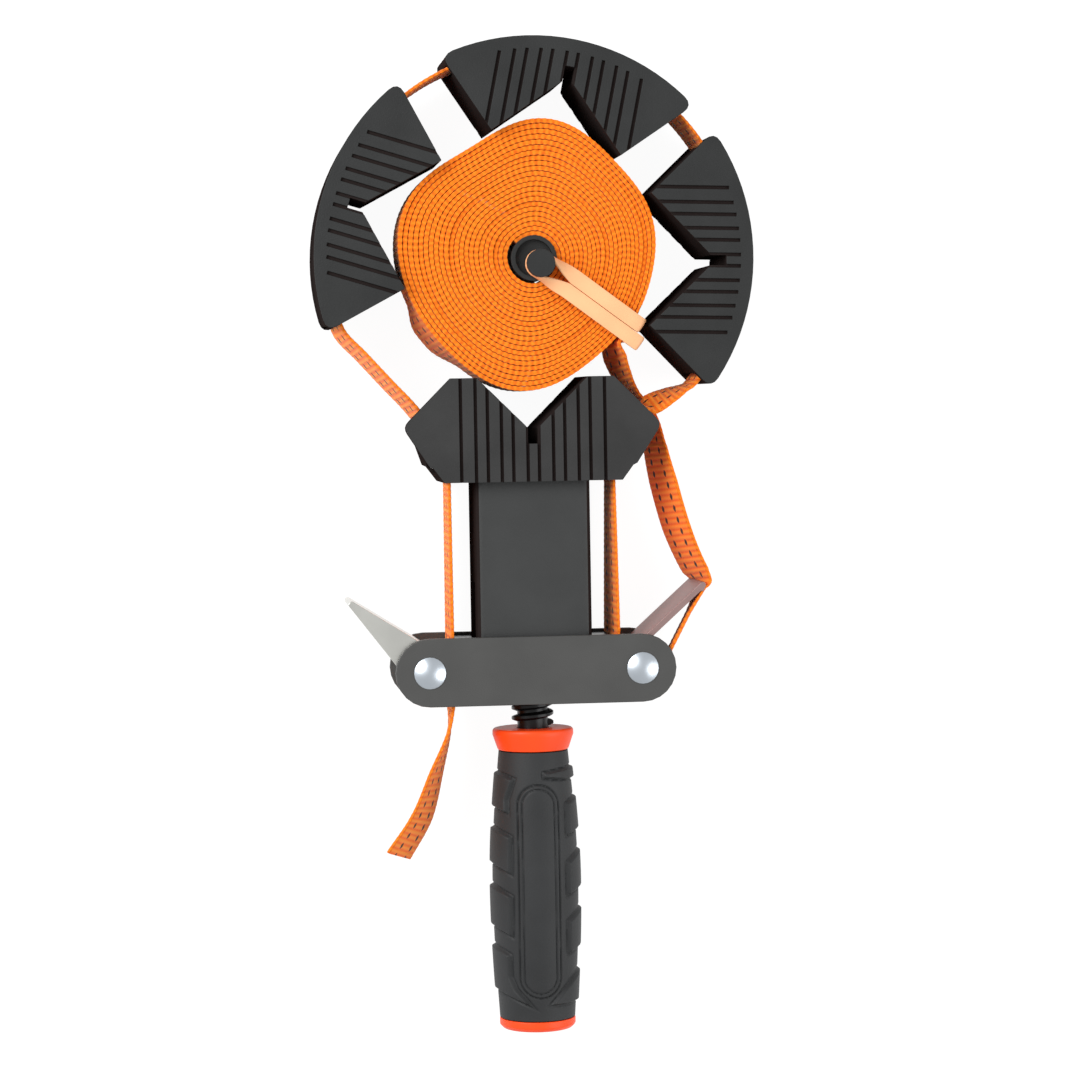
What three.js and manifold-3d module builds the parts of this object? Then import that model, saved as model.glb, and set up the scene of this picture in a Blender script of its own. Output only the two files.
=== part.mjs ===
// Band clamp: a screw-tensioned webbing loop with a fixed V jaw, three loose corner jaws and cam levers.
// Millimetres. X runs across the tool, Y along it towards the jaws, +Z up from the bench it lies on.

import * as THREE from 'three';
import { mergeVertices } from 'three/addons/utils/BufferGeometryUtils.js';
import Module from 'manifold-3d';

const wasm = await Module();
wasm.setup();

// Clearances
const FIT = 0.3; // between two pieces that touch on the real tool
const RUN = 0.25; // radial room of a turning piece

// Webbing
const STRAP_WIDTH = 25;
const STRAP_THICK = 1.2;
const COIL_THICK = 0.9; // a turn, so that the turns stay apart
const SQUEEZED_WIDTH = 12.6; // where two runs squeeze past each other

// Depth of the tool, from the bench
const AXIS_Z = 17.5; // height of the screw's axis
const JAW_DEPTH = 34.5;
const STRAP_GAP = 26.5; // between flanges, and between the crossbar's plates

// Loop of webbing that carries the loose jaws
const LOOP = new THREE.Vector2(1.6, 131.2);
const RIM_R = 70;
const RIM_SET_BACK = 0.8; // outer wall, back from the flanges' edges
const BAND_INSET = 4.4; // middle of the webbing inside the jaws, from the rim
const BAND_ROOM_IN = 1.7; // slot's room inside the band
const BAND_ROOM_OUT = 0.5; // and outside it
const JAW_HEIGHT = 33.1; // from the tips of the V to the rim, along the bisector
const JAW_V_DEPTH = 21;
const JAW_CORNER_R = 4;
const JAW_ANGLES = { left: 163, top: 78.5, right: -1.5 };

// Grooves on the jaws' faces
const GROOVE_WIDTH = 1.1;
const GROOVE_DEPTH = 0.9;
const GROOVE_PLACES = [1.8, 6.4, 10.1, 14.5, 18.3, 23]; // on each side, from the middle of the V
const GROOVE_BORDER = 4; // plain border left along the edge
const RELIEF_WIDTH = 3.2; // slot that clears a sharp corner at the foot of a V
const RELIEF_DEPTH = 3.4;

// Fixed jaw
const HEAD_BOTTOM_Y = 60.3;
const HEAD_V_Y = 75.7; // foot of its V
const HEAD_V_DEPTH = 17.7;
const HEAD_FLAT_X = 26;
const HEAD_WING_X = 41.3;
const HEAD_BACK_INSET = 3.8; // wings' sides behind the front flange
const HEAD_BOTTOM_X = 28.4;
const HEAD_STEP = 1.3; // small step in the wing's lower edge
const WING_R = 2.6;
const CHANNEL = 3.6; // width of the webbing's way through a wing
const PIN_R = 2.2;
const PIN_Y = 66.6;
const PIN_SEAT = 2.4; // depth of a guide pin in each flange

// Guide tube
const TUBE_WIDTH = 37;
const TUBE_DEPTH = 25.9;
const TUBE_WALL = 2.2;
const TUBE_R = 2.5;
const TUBE_BOTTOM_Y = -9.4;
const TUBE_TOP_Y = 70.5;

// Crossbar
const PLATE_HALF = 45;
const PLATE_R = 10.9;
const PLATE_THICK = 2.5;
const PIVOT_X = 34.1;
const RIVET_R = 3;
const RIVET_HEAD_R = 5.2;
const RIVET_HEAD_H = 1.75;
const BRIDGE_HALF_Y = 7;
const BRIDGE_ARM_Z = 12;
const BRIDGE_BOSS_R = 10.2;
const TRAVEL_UP = 20; // crossbar's travel towards the jaws

// Screw
const SCREW_R = 6.8;
const SCREW_NECK_R = 4.2;
const SCREW_TANG_R = 5;
const TANG_LENGTH = 66; // in the handle
const THRUST_Y = 59;
const THRUST_H = 5;
const CLIP_R = 6.4;
const CLIP_H = 1.2;
const SCREW_TIP = 1.4; // beyond the clip

// Cam levers
const HUB_R = 6.8;
const LEVER_LENGTH = 33;
const LEVER_TIP_R = 1;
const LEVER_SHEET = 2;
const LEVER_ANGLES = { left: 137.5, right: 52 };

// Handle
const COLLAR_TOP_Y = -19.6;
const COLLAR_H = 7;
const COLLAR_R = 13.1;
const COLLAR_FOOT_R = 11.4;
const GRIP_LENGTH = 87;
const GRIP_TOP_R = 11.2;
const GRIP_MID_R = 13.9;
const GRIP_END_R = 12.2;
const CORE_R = 8;
const END_RING_H = 3.4;
const END_RING_R = 12.3;
const PAD_RISE = 1.2;
const PAD_COUNT = 4;
const PAD_LENGTH = 14;
const PAD_PITCH = 18.4;
const PAD_HALF_Z = 9.6;
const PAD_FIRST = 6; // from the collar's foot
const PAD_STAGGER = 8; // right side lower than the left
const PAD_SLANT = 3;
const PANEL_Y = -72;
const PANEL_LENGTH = 67;
const PANEL_WIDTH = 12.8;
const PANEL_RIM = 1.1;
const PANEL_RISE = 0.8;
const PANEL_SINK = 0.5;

// Coil of spare webbing, its core and its rubber band
const COIL_ROOM = 1.5; // between the coil's last turn and the jaws' tips
const COIL_FIRST_R = 8.7;
const COIL_PITCH = 1.44;
const COIL_STEPS = 24; // for each turn
const COIL_SQUARE = 0.044; // how far the four jaws press it out of round
const COIL_SQUARE_TURN = -3;
const COIL_END_ANGLE = -24;
const HUB_CORE_R = 7.3;
const HUB_RING = 1.4; // width of the ring round its dish
const KNOB_R = 4.5;
const KNOB_NECK_R = 3.3;
const KNOB_OFFSET = new THREE.Vector2(1.5, -1.9);
const KNOB_TOP_Z = 38.4;
const KNOB_HEAD_H = 2.8;
const KNOB_FOOT_H = 0.8;
const BAND_SPREAD = 3; // half the distance between its two strands at the fold
const BAND_KNOB_WIDTH = 2.8;
const BAND_WIDTH = 4.4;
const BAND_THICK = 0.9;
const BAND_FOLD_ANGLE = -42; // where the rubber band folds over the coil's edge

const deg = THREE.MathUtils.degToRad;
const polar = (r, a) => new THREE.Vector2(r * Math.cos(deg(a)), r * Math.sin(deg(a)));

// A geometry of shared corners, without empty triangles, its faces turned outwards
function closedBody(geometry) {
  const g = geometry.clone();
  g.deleteAttribute('normal');
  g.deleteAttribute('uv');
  const merged = mergeVertices(g, 1e-5);
  const corner = (i) => new THREE.Vector3().fromBufferAttribute(merged.attributes.position, i);
  const faces = [];
  let volume = 0;
  for (let i = 0; i < merged.index.count; i += 3) {
    const [a, b, c] = merged.index.array.slice(i, i + 3);
    if (a !== b && b !== c && c !== a) {
      faces.push([a, b, c]);
      volume += corner(a).dot(corner(b).cross(corner(c)));
    }
  }
  merged.setIndex(faces.flatMap(([a, b, c]) => (volume > 0 ? [a, b, c] : [a, c, b])));
  return merged;
}

// Joining and cutting
function solidOf(geometry) {
  const body = closedBody(geometry);
  const mesh = new wasm.Mesh({
    numProp: 3,
    vertProperties: new Float32Array(body.attributes.position.array),
    triVerts: new Uint32Array(body.index.array),
  });
  return new wasm.Manifold(mesh);
}

function toGeometry(solid) {
  const mesh = solid.getMesh();
  const g = new THREE.BufferGeometry();
  g.setAttribute('position', new THREE.BufferAttribute(mesh.vertProperties, 3));
  g.setIndex(new THREE.BufferAttribute(mesh.triVerts, 1));
  return g;
}

const cutAll = (solid, tools) => tools.reduce((s, t) => s.subtract(t), solid);
const joinAll = (solids) => solids.reduce((s, t) => s.add(t));

function block(x0, x1, y0, y1, z0, z1) {
  const g = new THREE.BoxGeometry(x1 - x0, y1 - y0, z1 - z0);
  return g.translate((x0 + x1) / 2, (y0 + y1) / 2, (z0 + z1) / 2);
}

function prism(shape, z0, z1, curveSegments = 12) {
  const g = new THREE.ExtrudeGeometry(shape, { depth: z1 - z0, bevelEnabled: false, curveSegments });
  return g.translate(0, 0, z0);
}

function barZ(x, y, r, z0, z1, sides = 24) {
  const g = new THREE.CylinderGeometry(r, r, z1 - z0, sides);
  return g.rotateX(Math.PI / 2).translate(x, y, (z0 + z1) / 2);
}

function barY(r, y0, y1, sides = 32) {
  return new THREE.CylinderGeometry(r, r, y1 - y0, sides).translate(0, (y0 + y1) / 2, AXIS_Z);
}

// A piece turned about the screw's axis, from [radius, y] points
function turnedY(points, sides = 32) {
  const profile = points.map(([r, y]) => new THREE.Vector2(r, y));
  return new THREE.LatheGeometry(profile, sides).translate(0, 0, AXIS_Z);
}

function polygon(points) {
  return new THREE.Shape(points.map(([x, y]) => new THREE.Vector2(x, y)));
}

function ringSector(r0, r1, a0, a1) {
  const s = new THREE.Shape();
  s.absarc(0, 0, r1, deg(a0), deg(a1), false);
  s.absarc(0, 0, r0, deg(a1), deg(a0), true);
  s.closePath();
  return s;
}

// A flat band through rings of four corners, closed by end faces or onto itself
function bandGeometry(rings, closed = false) {
  const position = [];
  const index = [];
  rings.forEach((ring) => ring.forEach((p) => position.push(p.x, p.y, p.z)));
  const last = closed ? rings.length : rings.length - 1;
  for (let i = 0; i < last; i += 1) {
    const a = 4 * i;
    const b = 4 * ((i + 1) % rings.length);
    for (let k = 0; k < 4; k += 1) {
      const n = (k + 1) % 4;
      index.push(a + k, a + n, b + n, a + k, b + n, b + k);
    }
  }
  if (!closed) {
    const e = 4 * (rings.length - 1);
    index.push(0, 2, 1, 0, 3, 2, e, e + 1, e + 2, e, e + 2, e + 3);
  }
  const g = new THREE.BufferGeometry();
  g.setAttribute('position', new THREE.BufferAttribute(new Float32Array(position), 3));
  g.setIndex(index);
  return g;
}

function ringAt(p, along, wide, width, thick) {
  const t = along.clone().normalize();
  const w = wide.clone().addScaledVector(t, -wide.dot(t)).normalize().multiplyScalar(width / 2);
  const n = new THREE.Vector3().crossVectors(t, w).normalize().multiplyScalar(thick / 2);
  return [
    p.clone().add(w).add(n),
    p.clone().sub(w).add(n),
    p.clone().sub(w).sub(n),
    p.clone().add(w).sub(n),
  ];
}

// Webbing along stations [x, y, height of its middle, width, lean in degrees]
function webbing(stations, thick = STRAP_THICK, perSpan = 3) {
  const points = stations.map(([x, y, z]) => new THREE.Vector3(x, y, z));
  const curve = new THREE.CatmullRomCurve3(points, false, 'centripetal');
  const spans = stations.length - 1;
  const rings = [];
  for (let i = 0; i <= spans * perSpan; i += 1) {
    const t = i / (spans * perSpan);
    const k = Math.min(Math.floor(i / perSpan), spans - 1);
    const f = i / perSpan - k;
    const width = THREE.MathUtils.lerp(stations[k][3], stations[k + 1][3], f);
    const lean = deg(THREE.MathUtils.lerp(stations[k][4], stations[k + 1][4], f));
    const along = curve.getTangent(t).setZ(0);
    const side = new THREE.Vector3(along.y, -along.x, 0).normalize();
    const wide = new THREE.Vector3(0, 0, Math.cos(lean)).addScaledVector(side, Math.sin(lean));
    rings.push(ringAt(curve.getPoint(t), along, wide, width, thick));
  }
  return bandGeometry(rings);
}

// Levels that several pieces share
const BACK_Z = AXIS_Z - JAW_DEPTH / 2;
const FRONT_Z = AXIS_Z + JAW_DEPTH / 2;
const GAP_BACK_Z = AXIS_Z - STRAP_GAP / 2;
const GAP_FRONT_Z = AXIS_Z + STRAP_GAP / 2;
const STRAP_BACK_Z = AXIS_Z - STRAP_WIDTH / 2;
const STRAP_FRONT_Z = AXIS_Z + STRAP_WIDTH / 2;
const STRAND_X = PIVOT_X - HUB_R - FIT - STRAP_THICK / 2; // webbing beside a cam's hub
const OVER = 1; // how far a cutting tool reaches past the face it opens

const arc = (r, a0, a1, n, cx = 0, cy = 0) => Array.from({ length: n + 1 }, (_, i) => {
  const a = deg(a0 + ((a1 - a0) * i) / n);
  return [cx + r * Math.cos(a), cy + r * Math.sin(a)];
});

// A corner rounded by a curve from one side to the other
function rounded(from, corner, to, size, n = 4) {
  const c = new THREE.Vector2(...corner);
  const start = new THREE.Vector2(...from).sub(c).setLength(size).add(c);
  const end = new THREE.Vector2(...to).sub(c).setLength(size).add(c);
  return new THREE.QuadraticBezierCurve(start, c, end).getPoints(n).map((p) => [p.x, p.y]);
}

const mirrored = (points) => points.map(([x, y]) => [-x, y]).reverse();

function groovesOn(bars) {
  return bars.flatMap(([x0, x1, y0, y1]) => [
    solidOf(block(x0, x1, y0, y1, FRONT_Z - GROOVE_DEPTH, FRONT_Z + OVER)),
    solidOf(block(x0, x1, y0, y1, BACK_Z - OVER, BACK_Z + GROOVE_DEPTH)),
  ]);
}

// Loose jaw, its V facing the loop's centre at the origin
const BAND_R = RIM_R - BAND_INSET;
const RIM_WALL_R = RIM_R - RIM_SET_BACK;
const JAW_TIP_X = RIM_R - JAW_HEIGHT;
const JAW_APEX_X = JAW_TIP_X + JAW_V_DEPTH;
const END_RUN = (JAW_TIP_X + JAW_V_DEPTH) * Math.SQRT1_2;
const END_LENGTH = Math.sqrt(END_RUN ** 2 - JAW_TIP_X ** 2 - JAW_V_DEPTH ** 2 + RIM_R ** 2) - END_RUN;
const JAW_CORNER = [JAW_TIP_X, JAW_V_DEPTH].map((v) => v + END_LENGTH * Math.SQRT1_2);
const JAW_HALF_ANGLE = THREE.MathUtils.radToDeg(Math.atan2(JAW_CORNER[1], JAW_CORNER[0]));

function jawOutline() {
  const rimAngle = JAW_HALF_ANGLE - THREE.MathUtils.radToDeg(JAW_CORNER_R / RIM_R);
  const rim = arc(RIM_R, -rimAngle, rimAngle, 20);
  const corner = rounded(rim[rim.length - 1], JAW_CORNER, [JAW_TIP_X, JAW_V_DEPTH], JAW_CORNER_R);
  const upper = [...corner.slice(1), [JAW_TIP_X, JAW_V_DEPTH]];
  const lower = upper.map(([x, y]) => [x, -y]).reverse();
  return polygon([...lower, ...rim, ...upper, [JAW_APEX_X, 0]]);
}

function jawGrooves() {
  const w = GROOVE_WIDTH / 2;
  return groovesOn(GROOVE_PLACES.flatMap((y) => {
    const onV = y < JAW_V_DEPTH;
    const edge = onV ? JAW_APEX_X - y : JAW_TIP_X + y - JAW_V_DEPTH;
    const end = Math.sqrt((RIM_R - GROOVE_BORDER) ** 2 - y ** 2);
    return [-y, y].map((v) => [edge - GROOVE_WIDTH - OVER, end, v - w, v + w]);
  }));
}

function jawGeometry() {
  const half = JAW_HALF_ANGLE + 15;
  const slotInner = BAND_R - STRAP_THICK / 2 - BAND_ROOM_IN;
  const slotOuter = BAND_R + STRAP_THICK / 2 + BAND_ROOM_OUT;
  const slot = prism(ringSector(slotInner, slotOuter, -half, half), GAP_BACK_Z, GAP_FRONT_Z, 20);
  const setBack = prism(ringSector(RIM_WALL_R, RIM_R + OVER, -half, half), GAP_BACK_Z, GAP_FRONT_Z, 20);
  const w = RELIEF_WIDTH / 2;
  const reliefEnd = JAW_APEX_X + RELIEF_DEPTH;
  const relief = block(JAW_APEX_X - OVER - w, reliefEnd, -w, w, BACK_Z - OVER, FRONT_Z + OVER);
  const tools = [slot, setBack, relief].map(solidOf);
  return toGeometry(cutAll(solidOf(prism(jawOutline(), BACK_Z, FRONT_Z)), [...tools, ...jawGrooves()]));
}

// Fixed jaw with its two wings, the socket for the tube and the webbing's ways through the wings
const HEAD_TOP_Y = HEAD_V_Y + HEAD_V_DEPTH;
const WING_Y = HEAD_TOP_Y - (HEAD_WING_X - HEAD_FLAT_X);
const PIN = new THREE.Vector2(STRAND_X + STRAP_THICK / 2 + FIT + PIN_R, PIN_Y);
const ENTRY_X = HEAD_WING_X - 4.7; // where the webbing enters a wing's slanted top
const ENTRY = new THREE.Vector2(ENTRY_X, HEAD_TOP_Y - (ENTRY_X - HEAD_FLAT_X));

function headOutline(inset) {
  const tip = [HEAD_WING_X - inset, WING_Y];
  const flat = [HEAD_FLAT_X - inset, HEAD_TOP_Y];
  const foot = new THREE.Vector2(HEAD_BOTTOM_X + HEAD_STEP, HEAD_BOTTOM_Y);
  const step = new THREE.Vector2(HEAD_WING_X, WING_Y).lerp(foot, 0.7);
  const right = [
    [0, HEAD_V_Y],
    [HEAD_V_DEPTH, HEAD_TOP_Y],
    flat,
    ...rounded(flat, tip, [step.x, step.y], WING_R),
    [step.x, step.y],
    [step.x - HEAD_STEP, step.y - HEAD_STEP / 2],
    [HEAD_BOTTOM_X, HEAD_BOTTOM_Y],
  ];
  return polygon([...right, ...mirrored(right.slice(1))]);
}

// The webbing's way from below the head, round the guide pin and out of the wing: [x, y] points
function wingRoute() {
  const r = PIN_R + FIT + STRAP_THICK / 2;
  const out = ENTRY.clone().sub(PIN);
  const leave = THREE.MathUtils.radToDeg(out.angle() + Math.acos(r / out.length()));
  return [[STRAND_X, PIN_Y - 3], ...arc(r, 180, leave, 3, PIN.x, PIN.y), [ENTRY.x, ENTRY.y]];
}

function headGrooves() {
  const w = GROOVE_WIDTH / 2;
  return groovesOn(GROOVE_PLACES.flatMap((x) => {
    const top = HEAD_V_Y + Math.min(x + GROOVE_WIDTH, HEAD_V_DEPTH) + OVER;
    return [-x, x].map((u) => [u - w, u + w, HEAD_BOTTOM_Y - OVER, top]);
  }));
}

function headGeometry() {
  const w = RELIEF_WIDTH / 2;
  const relief = block(-w, w, HEAD_V_Y - RELIEF_DEPTH, HEAD_V_Y + w + OVER, BACK_Z - OVER, FRONT_Z + OVER);
  const x = TUBE_WIDTH / 2 + FIT;
  const z = TUBE_DEPTH / 2 + FIT;
  const socket = block(-x, x, HEAD_BOTTOM_Y - OVER, TUBE_TOP_Y + FIT, AXIS_Z - z, AXIS_Z + z);
  const route = wingRoute();
  const away = ENTRY.clone().sub(new THREE.Vector2(...route[route.length - 2])).setLength(6).add(ENTRY);
  const line = [[STRAND_X, HEAD_BOTTOM_Y - 3], ...route, [away.x, away.y]];
  const tools = [relief, socket].map(solidOf);
  [1, -1].forEach((s) => {
    tools.push(solidOf(webbing(line.map(([u, v]) => [s * u, v, AXIS_Z, STRAP_GAP, 0]), CHANNEL)));
    const seat = [GAP_BACK_Z - PIN_SEAT, GAP_FRONT_Z + PIN_SEAT];
    tools.push(solidOf(barZ(s * PIN.x, PIN.y, PIN_R + FIT, ...seat, 16)));
    const window = [s * PIN.x, s * (HEAD_WING_X + OVER)].sort((a, b) => a - b);
    const height = [PIN.y - PIN_R - OVER, PIN.y + PIN_R + OVER];
    tools.push(solidOf(block(...window, ...height, GAP_BACK_Z, GAP_FRONT_Z)));
  });
  const flange = solidOf(prism(headOutline(0), GAP_FRONT_Z, FRONT_Z));
  const body = solidOf(prism(headOutline(HEAD_BACK_INSET), BACK_Z, FRONT_Z - OVER)).add(flange);
  return toGeometry(cutAll(body, [...tools, ...headGrooves()]));
}

function guidePinGeometry() {
  return barZ(0, 0, PIN_R, GAP_BACK_Z - PIN_SEAT + FIT, GAP_FRONT_Z + PIN_SEAT - FIT, 16);
}

// Guide tube, slotted from below so that the threaded bridge can pass along it
function roundedBox(width, height, r) {
  const x = width / 2 - r;
  const y = height / 2 - r;
  const corners = [[x, y], [-x, y], [-x, -y], [x, -y]];
  return corners.flatMap((c, i) => arc(r, 90 * i, 90 * (i + 1), 3, ...c));
}

const TUBE_INNER_X = TUBE_WIDTH / 2 - TUBE_WALL;
const TUBE_INNER_Z = TUBE_DEPTH / 2 - TUBE_WALL;

function tubeGeometry() {
  const section = polygon(roundedBox(TUBE_WIDTH, TUBE_DEPTH, TUBE_R));
  const bore = roundedBox(2 * TUBE_INNER_X, 2 * TUBE_INNER_Z, TUBE_R - TUBE_WALL);
  section.holes.push(polygon(bore));
  const upright = prism(section, 0, TUBE_TOP_Y - TUBE_BOTTOM_Y);
  const tube = upright.rotateX(Math.PI / 2).translate(0, TUBE_TOP_Y, AXIS_Z);
  const z = BRIDGE_ARM_Z / 2 + FIT;
  const slotTop = BRIDGE_HALF_Y + TRAVEL_UP + OVER;
  const slots = block(-TUBE_WIDTH, TUBE_WIDTH, TUBE_BOTTOM_Y - OVER, slotTop, AXIS_Z - z, AXIS_Z + z);
  return toGeometry(solidOf(tube).subtract(solidOf(slots)));
}

function thrustPlateGeometry() {
  const x = TUBE_INNER_X - FIT;
  const z = TUBE_INNER_Z - FIT;
  const plate = solidOf(block(-x, x, THRUST_Y, THRUST_Y + THRUST_H, AXIS_Z - z, AXIS_Z + z));
  const bore = solidOf(barY(SCREW_NECK_R + RUN, THRUST_Y - OVER, THRUST_Y + THRUST_H + OVER, 24));
  return toGeometry(plate.subtract(bore));
}

// Crossbar
function plateGeometry(z0) {
  const straight = PLATE_HALF - PLATE_R;
  const outline = [...arc(PLATE_R, -90, 90, 12, straight), ...arc(PLATE_R, 90, 270, 12, -straight)];
  const plate = solidOf(prism(polygon(outline), z0, z0 + PLATE_THICK));
  const through = [z0 - OVER, z0 + PLATE_THICK + OVER];
  const holes = [-PIVOT_X, PIVOT_X].map((x) => solidOf(barZ(x, 0, RIVET_R + RUN, ...through)));
  return toGeometry(cutAll(plate, holes));
}

function rivetGeometry() {
  const face = STRAP_GAP / 2 + PLATE_THICK + FIT / 3;
  const domeR = (RIVET_HEAD_R ** 2 + RIVET_HEAD_H ** 2) / (2 * RIVET_HEAD_H);
  const rise = THREE.MathUtils.radToDeg(Math.asin(RIVET_HEAD_R / domeR));
  const dome = arc(domeR, 90 - rise, 90, 5, 0, face + RIVET_HEAD_H - domeR);
  const half = [[RIVET_R, face], ...dome.slice(0, -1), [0, face + RIVET_HEAD_H]];
  const profile = [...half.map(([r, z]) => [r, -z]).reverse(), ...half];
  const points = profile.map(([r, z]) => new THREE.Vector2(r, z));
  return new THREE.LatheGeometry(points, 24).rotateX(Math.PI / 2).translate(0, 0, AXIS_Z);
}

function bridgeGeometry() {
  const inner = TUBE_WIDTH / 2 + FIT;
  const outer = STRAND_X - STRAP_THICK / 2 - FIT;
  const z = STRAP_GAP / 2 - FIT / 3;
  const armZ = [AXIS_Z - BRIDGE_ARM_Z / 2, AXIS_Z + BRIDGE_ARM_Z / 2];
  const arm = block(-outer, outer, -BRIDGE_HALF_Y, BRIDGE_HALF_Y, ...armZ);
  const end = [OVER - PLATE_R, PLATE_R - OVER, AXIS_Z - z, AXIS_Z + z];
  const ends = [[-outer, -inner], [inner, outer]].map((x) => block(...x, ...end));
  const boss = barY(BRIDGE_BOSS_R, -BRIDGE_HALF_Y, BRIDGE_HALF_Y);
  const body = joinAll([arm, ...ends, boss].map(solidOf));
  const bore = solidOf(barY(SCREW_R + RUN, -BRIDGE_HALF_Y - OVER, BRIDGE_HALF_Y + OVER));
  return toGeometry(body.subtract(bore));
}

// Cam lever of folded sheet, its pivot at the origin and its tip along +X; the web is on the side of sign
function leverGeometry(sign, cheeks) {
  const turn = THREE.MathUtils.radToDeg(Math.acos((HUB_R - LEVER_TIP_R) / LEVER_LENGTH));
  const outline = polygon([
    ...arc(HUB_R, turn, 360 - turn, 18),
    ...arc(LEVER_TIP_R, -turn, turn, 4, LEVER_LENGTH),
  ]);
  const half = STRAP_GAP / 2 - FIT;
  const open = cheeks ? half - LEVER_SHEET : half + OVER;
  const body = solidOf(prism(outline, AXIS_Z - half, AXIS_Z + half));
  const lean = Math.asin((HUB_R - LEVER_TIP_R) / LEVER_LENGTH);
  const web = (x) => sign * ((HUB_R - LEVER_SHEET) / Math.cos(lean) - x * Math.tan(lean));
  const near = HUB_R + LEVER_SHEET;
  const far = LEVER_LENGTH - (cheeks ? LEVER_SHEET / Math.tan(lean) : 2 * LEVER_TIP_R);
  const away = -sign * 2 * HUB_R;
  const inside = polygon([[near, web(near)], [far, web(far)], [far + HUB_R, away], [near, away]]);
  const hollow = solidOf(prism(inside, AXIS_Z - open, AXIS_Z + open));
  const bore = solidOf(barZ(0, 0, RIVET_R + RUN, AXIS_Z - half - OVER, AXIS_Z + half + OVER));
  return toGeometry(cutAll(body, [hollow, bore]));
}

// Screw, its clip and the handle, all turned about the screw's axis
const CLIP_Y = THRUST_Y + THRUST_H + FIT;
const TANG_Y = COLLAR_TOP_Y - TANG_LENGTH;
const GRIP_TOP_Y = COLLAR_TOP_Y - COLLAR_H;
const GRIP_BOTTOM_Y = GRIP_TOP_Y - GRIP_LENGTH;

function screwGeometry() {
  const tip = CLIP_Y + CLIP_H + SCREW_TIP;
  return turnedY([
    [0, TANG_Y],
    [SCREW_TANG_R, TANG_Y],
    [SCREW_TANG_R, COLLAR_TOP_Y + FIT],
    [SCREW_R, COLLAR_TOP_Y + FIT],
    [SCREW_R, THRUST_Y - FIT],
    [SCREW_NECK_R, THRUST_Y - FIT],
    [SCREW_NECK_R, tip],
    [0, tip],
  ]);
}

function clipGeometry() {
  const inner = SCREW_NECK_R + RUN;
  const top = CLIP_Y + CLIP_H;
  return turnedY([[inner, CLIP_Y], [CLIP_R, CLIP_Y], [CLIP_R, top], [inner, top], [inner, CLIP_Y]], 24);
}

function handleCoreGeometry() {
  const bore = SCREW_TANG_R + FIT;
  const end = GRIP_BOTTOM_Y - END_RING_H;
  return turnedY([
    [0, TANG_Y - FIT],
    [bore, TANG_Y - FIT],
    [bore, COLLAR_TOP_Y],
    [COLLAR_R - 0.6, COLLAR_TOP_Y],
    [COLLAR_R, COLLAR_TOP_Y - 0.6],
    [COLLAR_R, COLLAR_TOP_Y - 0.3 * COLLAR_H],
    [COLLAR_FOOT_R, GRIP_TOP_Y],
    [CORE_R, GRIP_TOP_Y],
    [CORE_R, GRIP_BOTTOM_Y],
    [END_RING_R, GRIP_BOTTOM_Y],
    [END_RING_R, end + 1.2],
    [END_RING_R - 1.2, end],
    [0, end],
  ], 40);
}

// The grip's own round, raised or lowered for its pads and its panel
function gripRound(rise) {
  const steps = 14;
  const top = GRIP_TOP_Y - FIT;
  const bottom = GRIP_BOTTOM_Y + FIT;
  const outer = [];
  for (let i = 0; i <= steps; i += 1) {
    const f = i / steps;
    const end = f < 0.5 ? GRIP_TOP_R : GRIP_END_R;
    const r = end + (GRIP_MID_R - end) * Math.sin(Math.PI * f) + rise;
    outer.push([r, THREE.MathUtils.lerp(top, bottom, f)]);
  }
  const inner = CORE_R + FIT;
  return solidOf(turnedY([...outer, [inner, bottom], [inner, top], outer[0]], 40));
}

function gripPads() {
  const reach = GRIP_MID_R + 2 * PAD_RISE;
  const pads = [];
  [-1, 1].forEach((side) => {
    for (let i = 0; i < PAD_COUNT; i += 1) {
      const top = GRIP_TOP_Y - PAD_FIRST - i * PAD_PITCH - (side > 0 ? PAD_STAGGER : 0);
      const outline = [
        [PAD_HALF_Z, top],
        [-PAD_HALF_Z, top - PAD_SLANT],
        [-PAD_HALF_Z, top - PAD_SLANT - PAD_LENGTH],
        [PAD_HALF_Z, top - PAD_LENGTH],
      ];
      const bar = prism(polygon(outline), 0, reach).rotateY((side * Math.PI) / 2);
      const turned = side > 0 ? bar : bar.scale(1, 1, -1);
      pads.push(solidOf(turned.translate(0, 0, AXIS_Z)));
    }
  });
  return joinAll(pads);
}

function panelPrism(rim) {
  const r = PANEL_WIDTH / 2 - rim;
  const straight = (PANEL_LENGTH - PANEL_WIDTH) / 2;
  const upper = arc(r, 0, 180, 10, 0, PANEL_Y + straight);
  const outline = [...upper, ...arc(r, 180, 360, 10, 0, PANEL_Y - straight)];
  return solidOf(prism(polygon(outline), AXIS_Z + CORE_R + 2 * FIT, AXIS_Z + GRIP_MID_R + 4 * PAD_RISE));
}

function gripGeometry() {
  const pads = gripPads().intersect(gripRound(PAD_RISE));
  const rim = panelPrism(0).intersect(gripRound(PANEL_RISE));
  const floor = panelPrism(PANEL_RIM).subtract(gripRound(-PANEL_SINK));
  return toGeometry(joinAll([gripRound(0), pads, rim]).subtract(floor));
}

// Coil of spare webbing, wound outwards clockwise, as many turns as fit inside the jaws' tips
const COIL_LAST_R = Math.hypot(JAW_TIP_X, JAW_V_DEPTH) - COIL_ROOM;
const COIL_TURNS = Math.floor((COIL_LAST_R - COIL_FIRST_R) / COIL_PITCH);

function coilPoint(i) {
  const a = COIL_END_ANGLE + ((COIL_TURNS * COIL_STEPS - i) * 360) / COIL_STEPS;
  const square = 1 + COIL_SQUARE * Math.cos(4 * deg(a - COIL_SQUARE_TURN));
  const p = polar((COIL_FIRST_R + (COIL_PITCH * i) / COIL_STEPS) * square, a).add(LOOP);
  return new THREE.Vector3(p.x, p.y, AXIS_Z);
}

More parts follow.
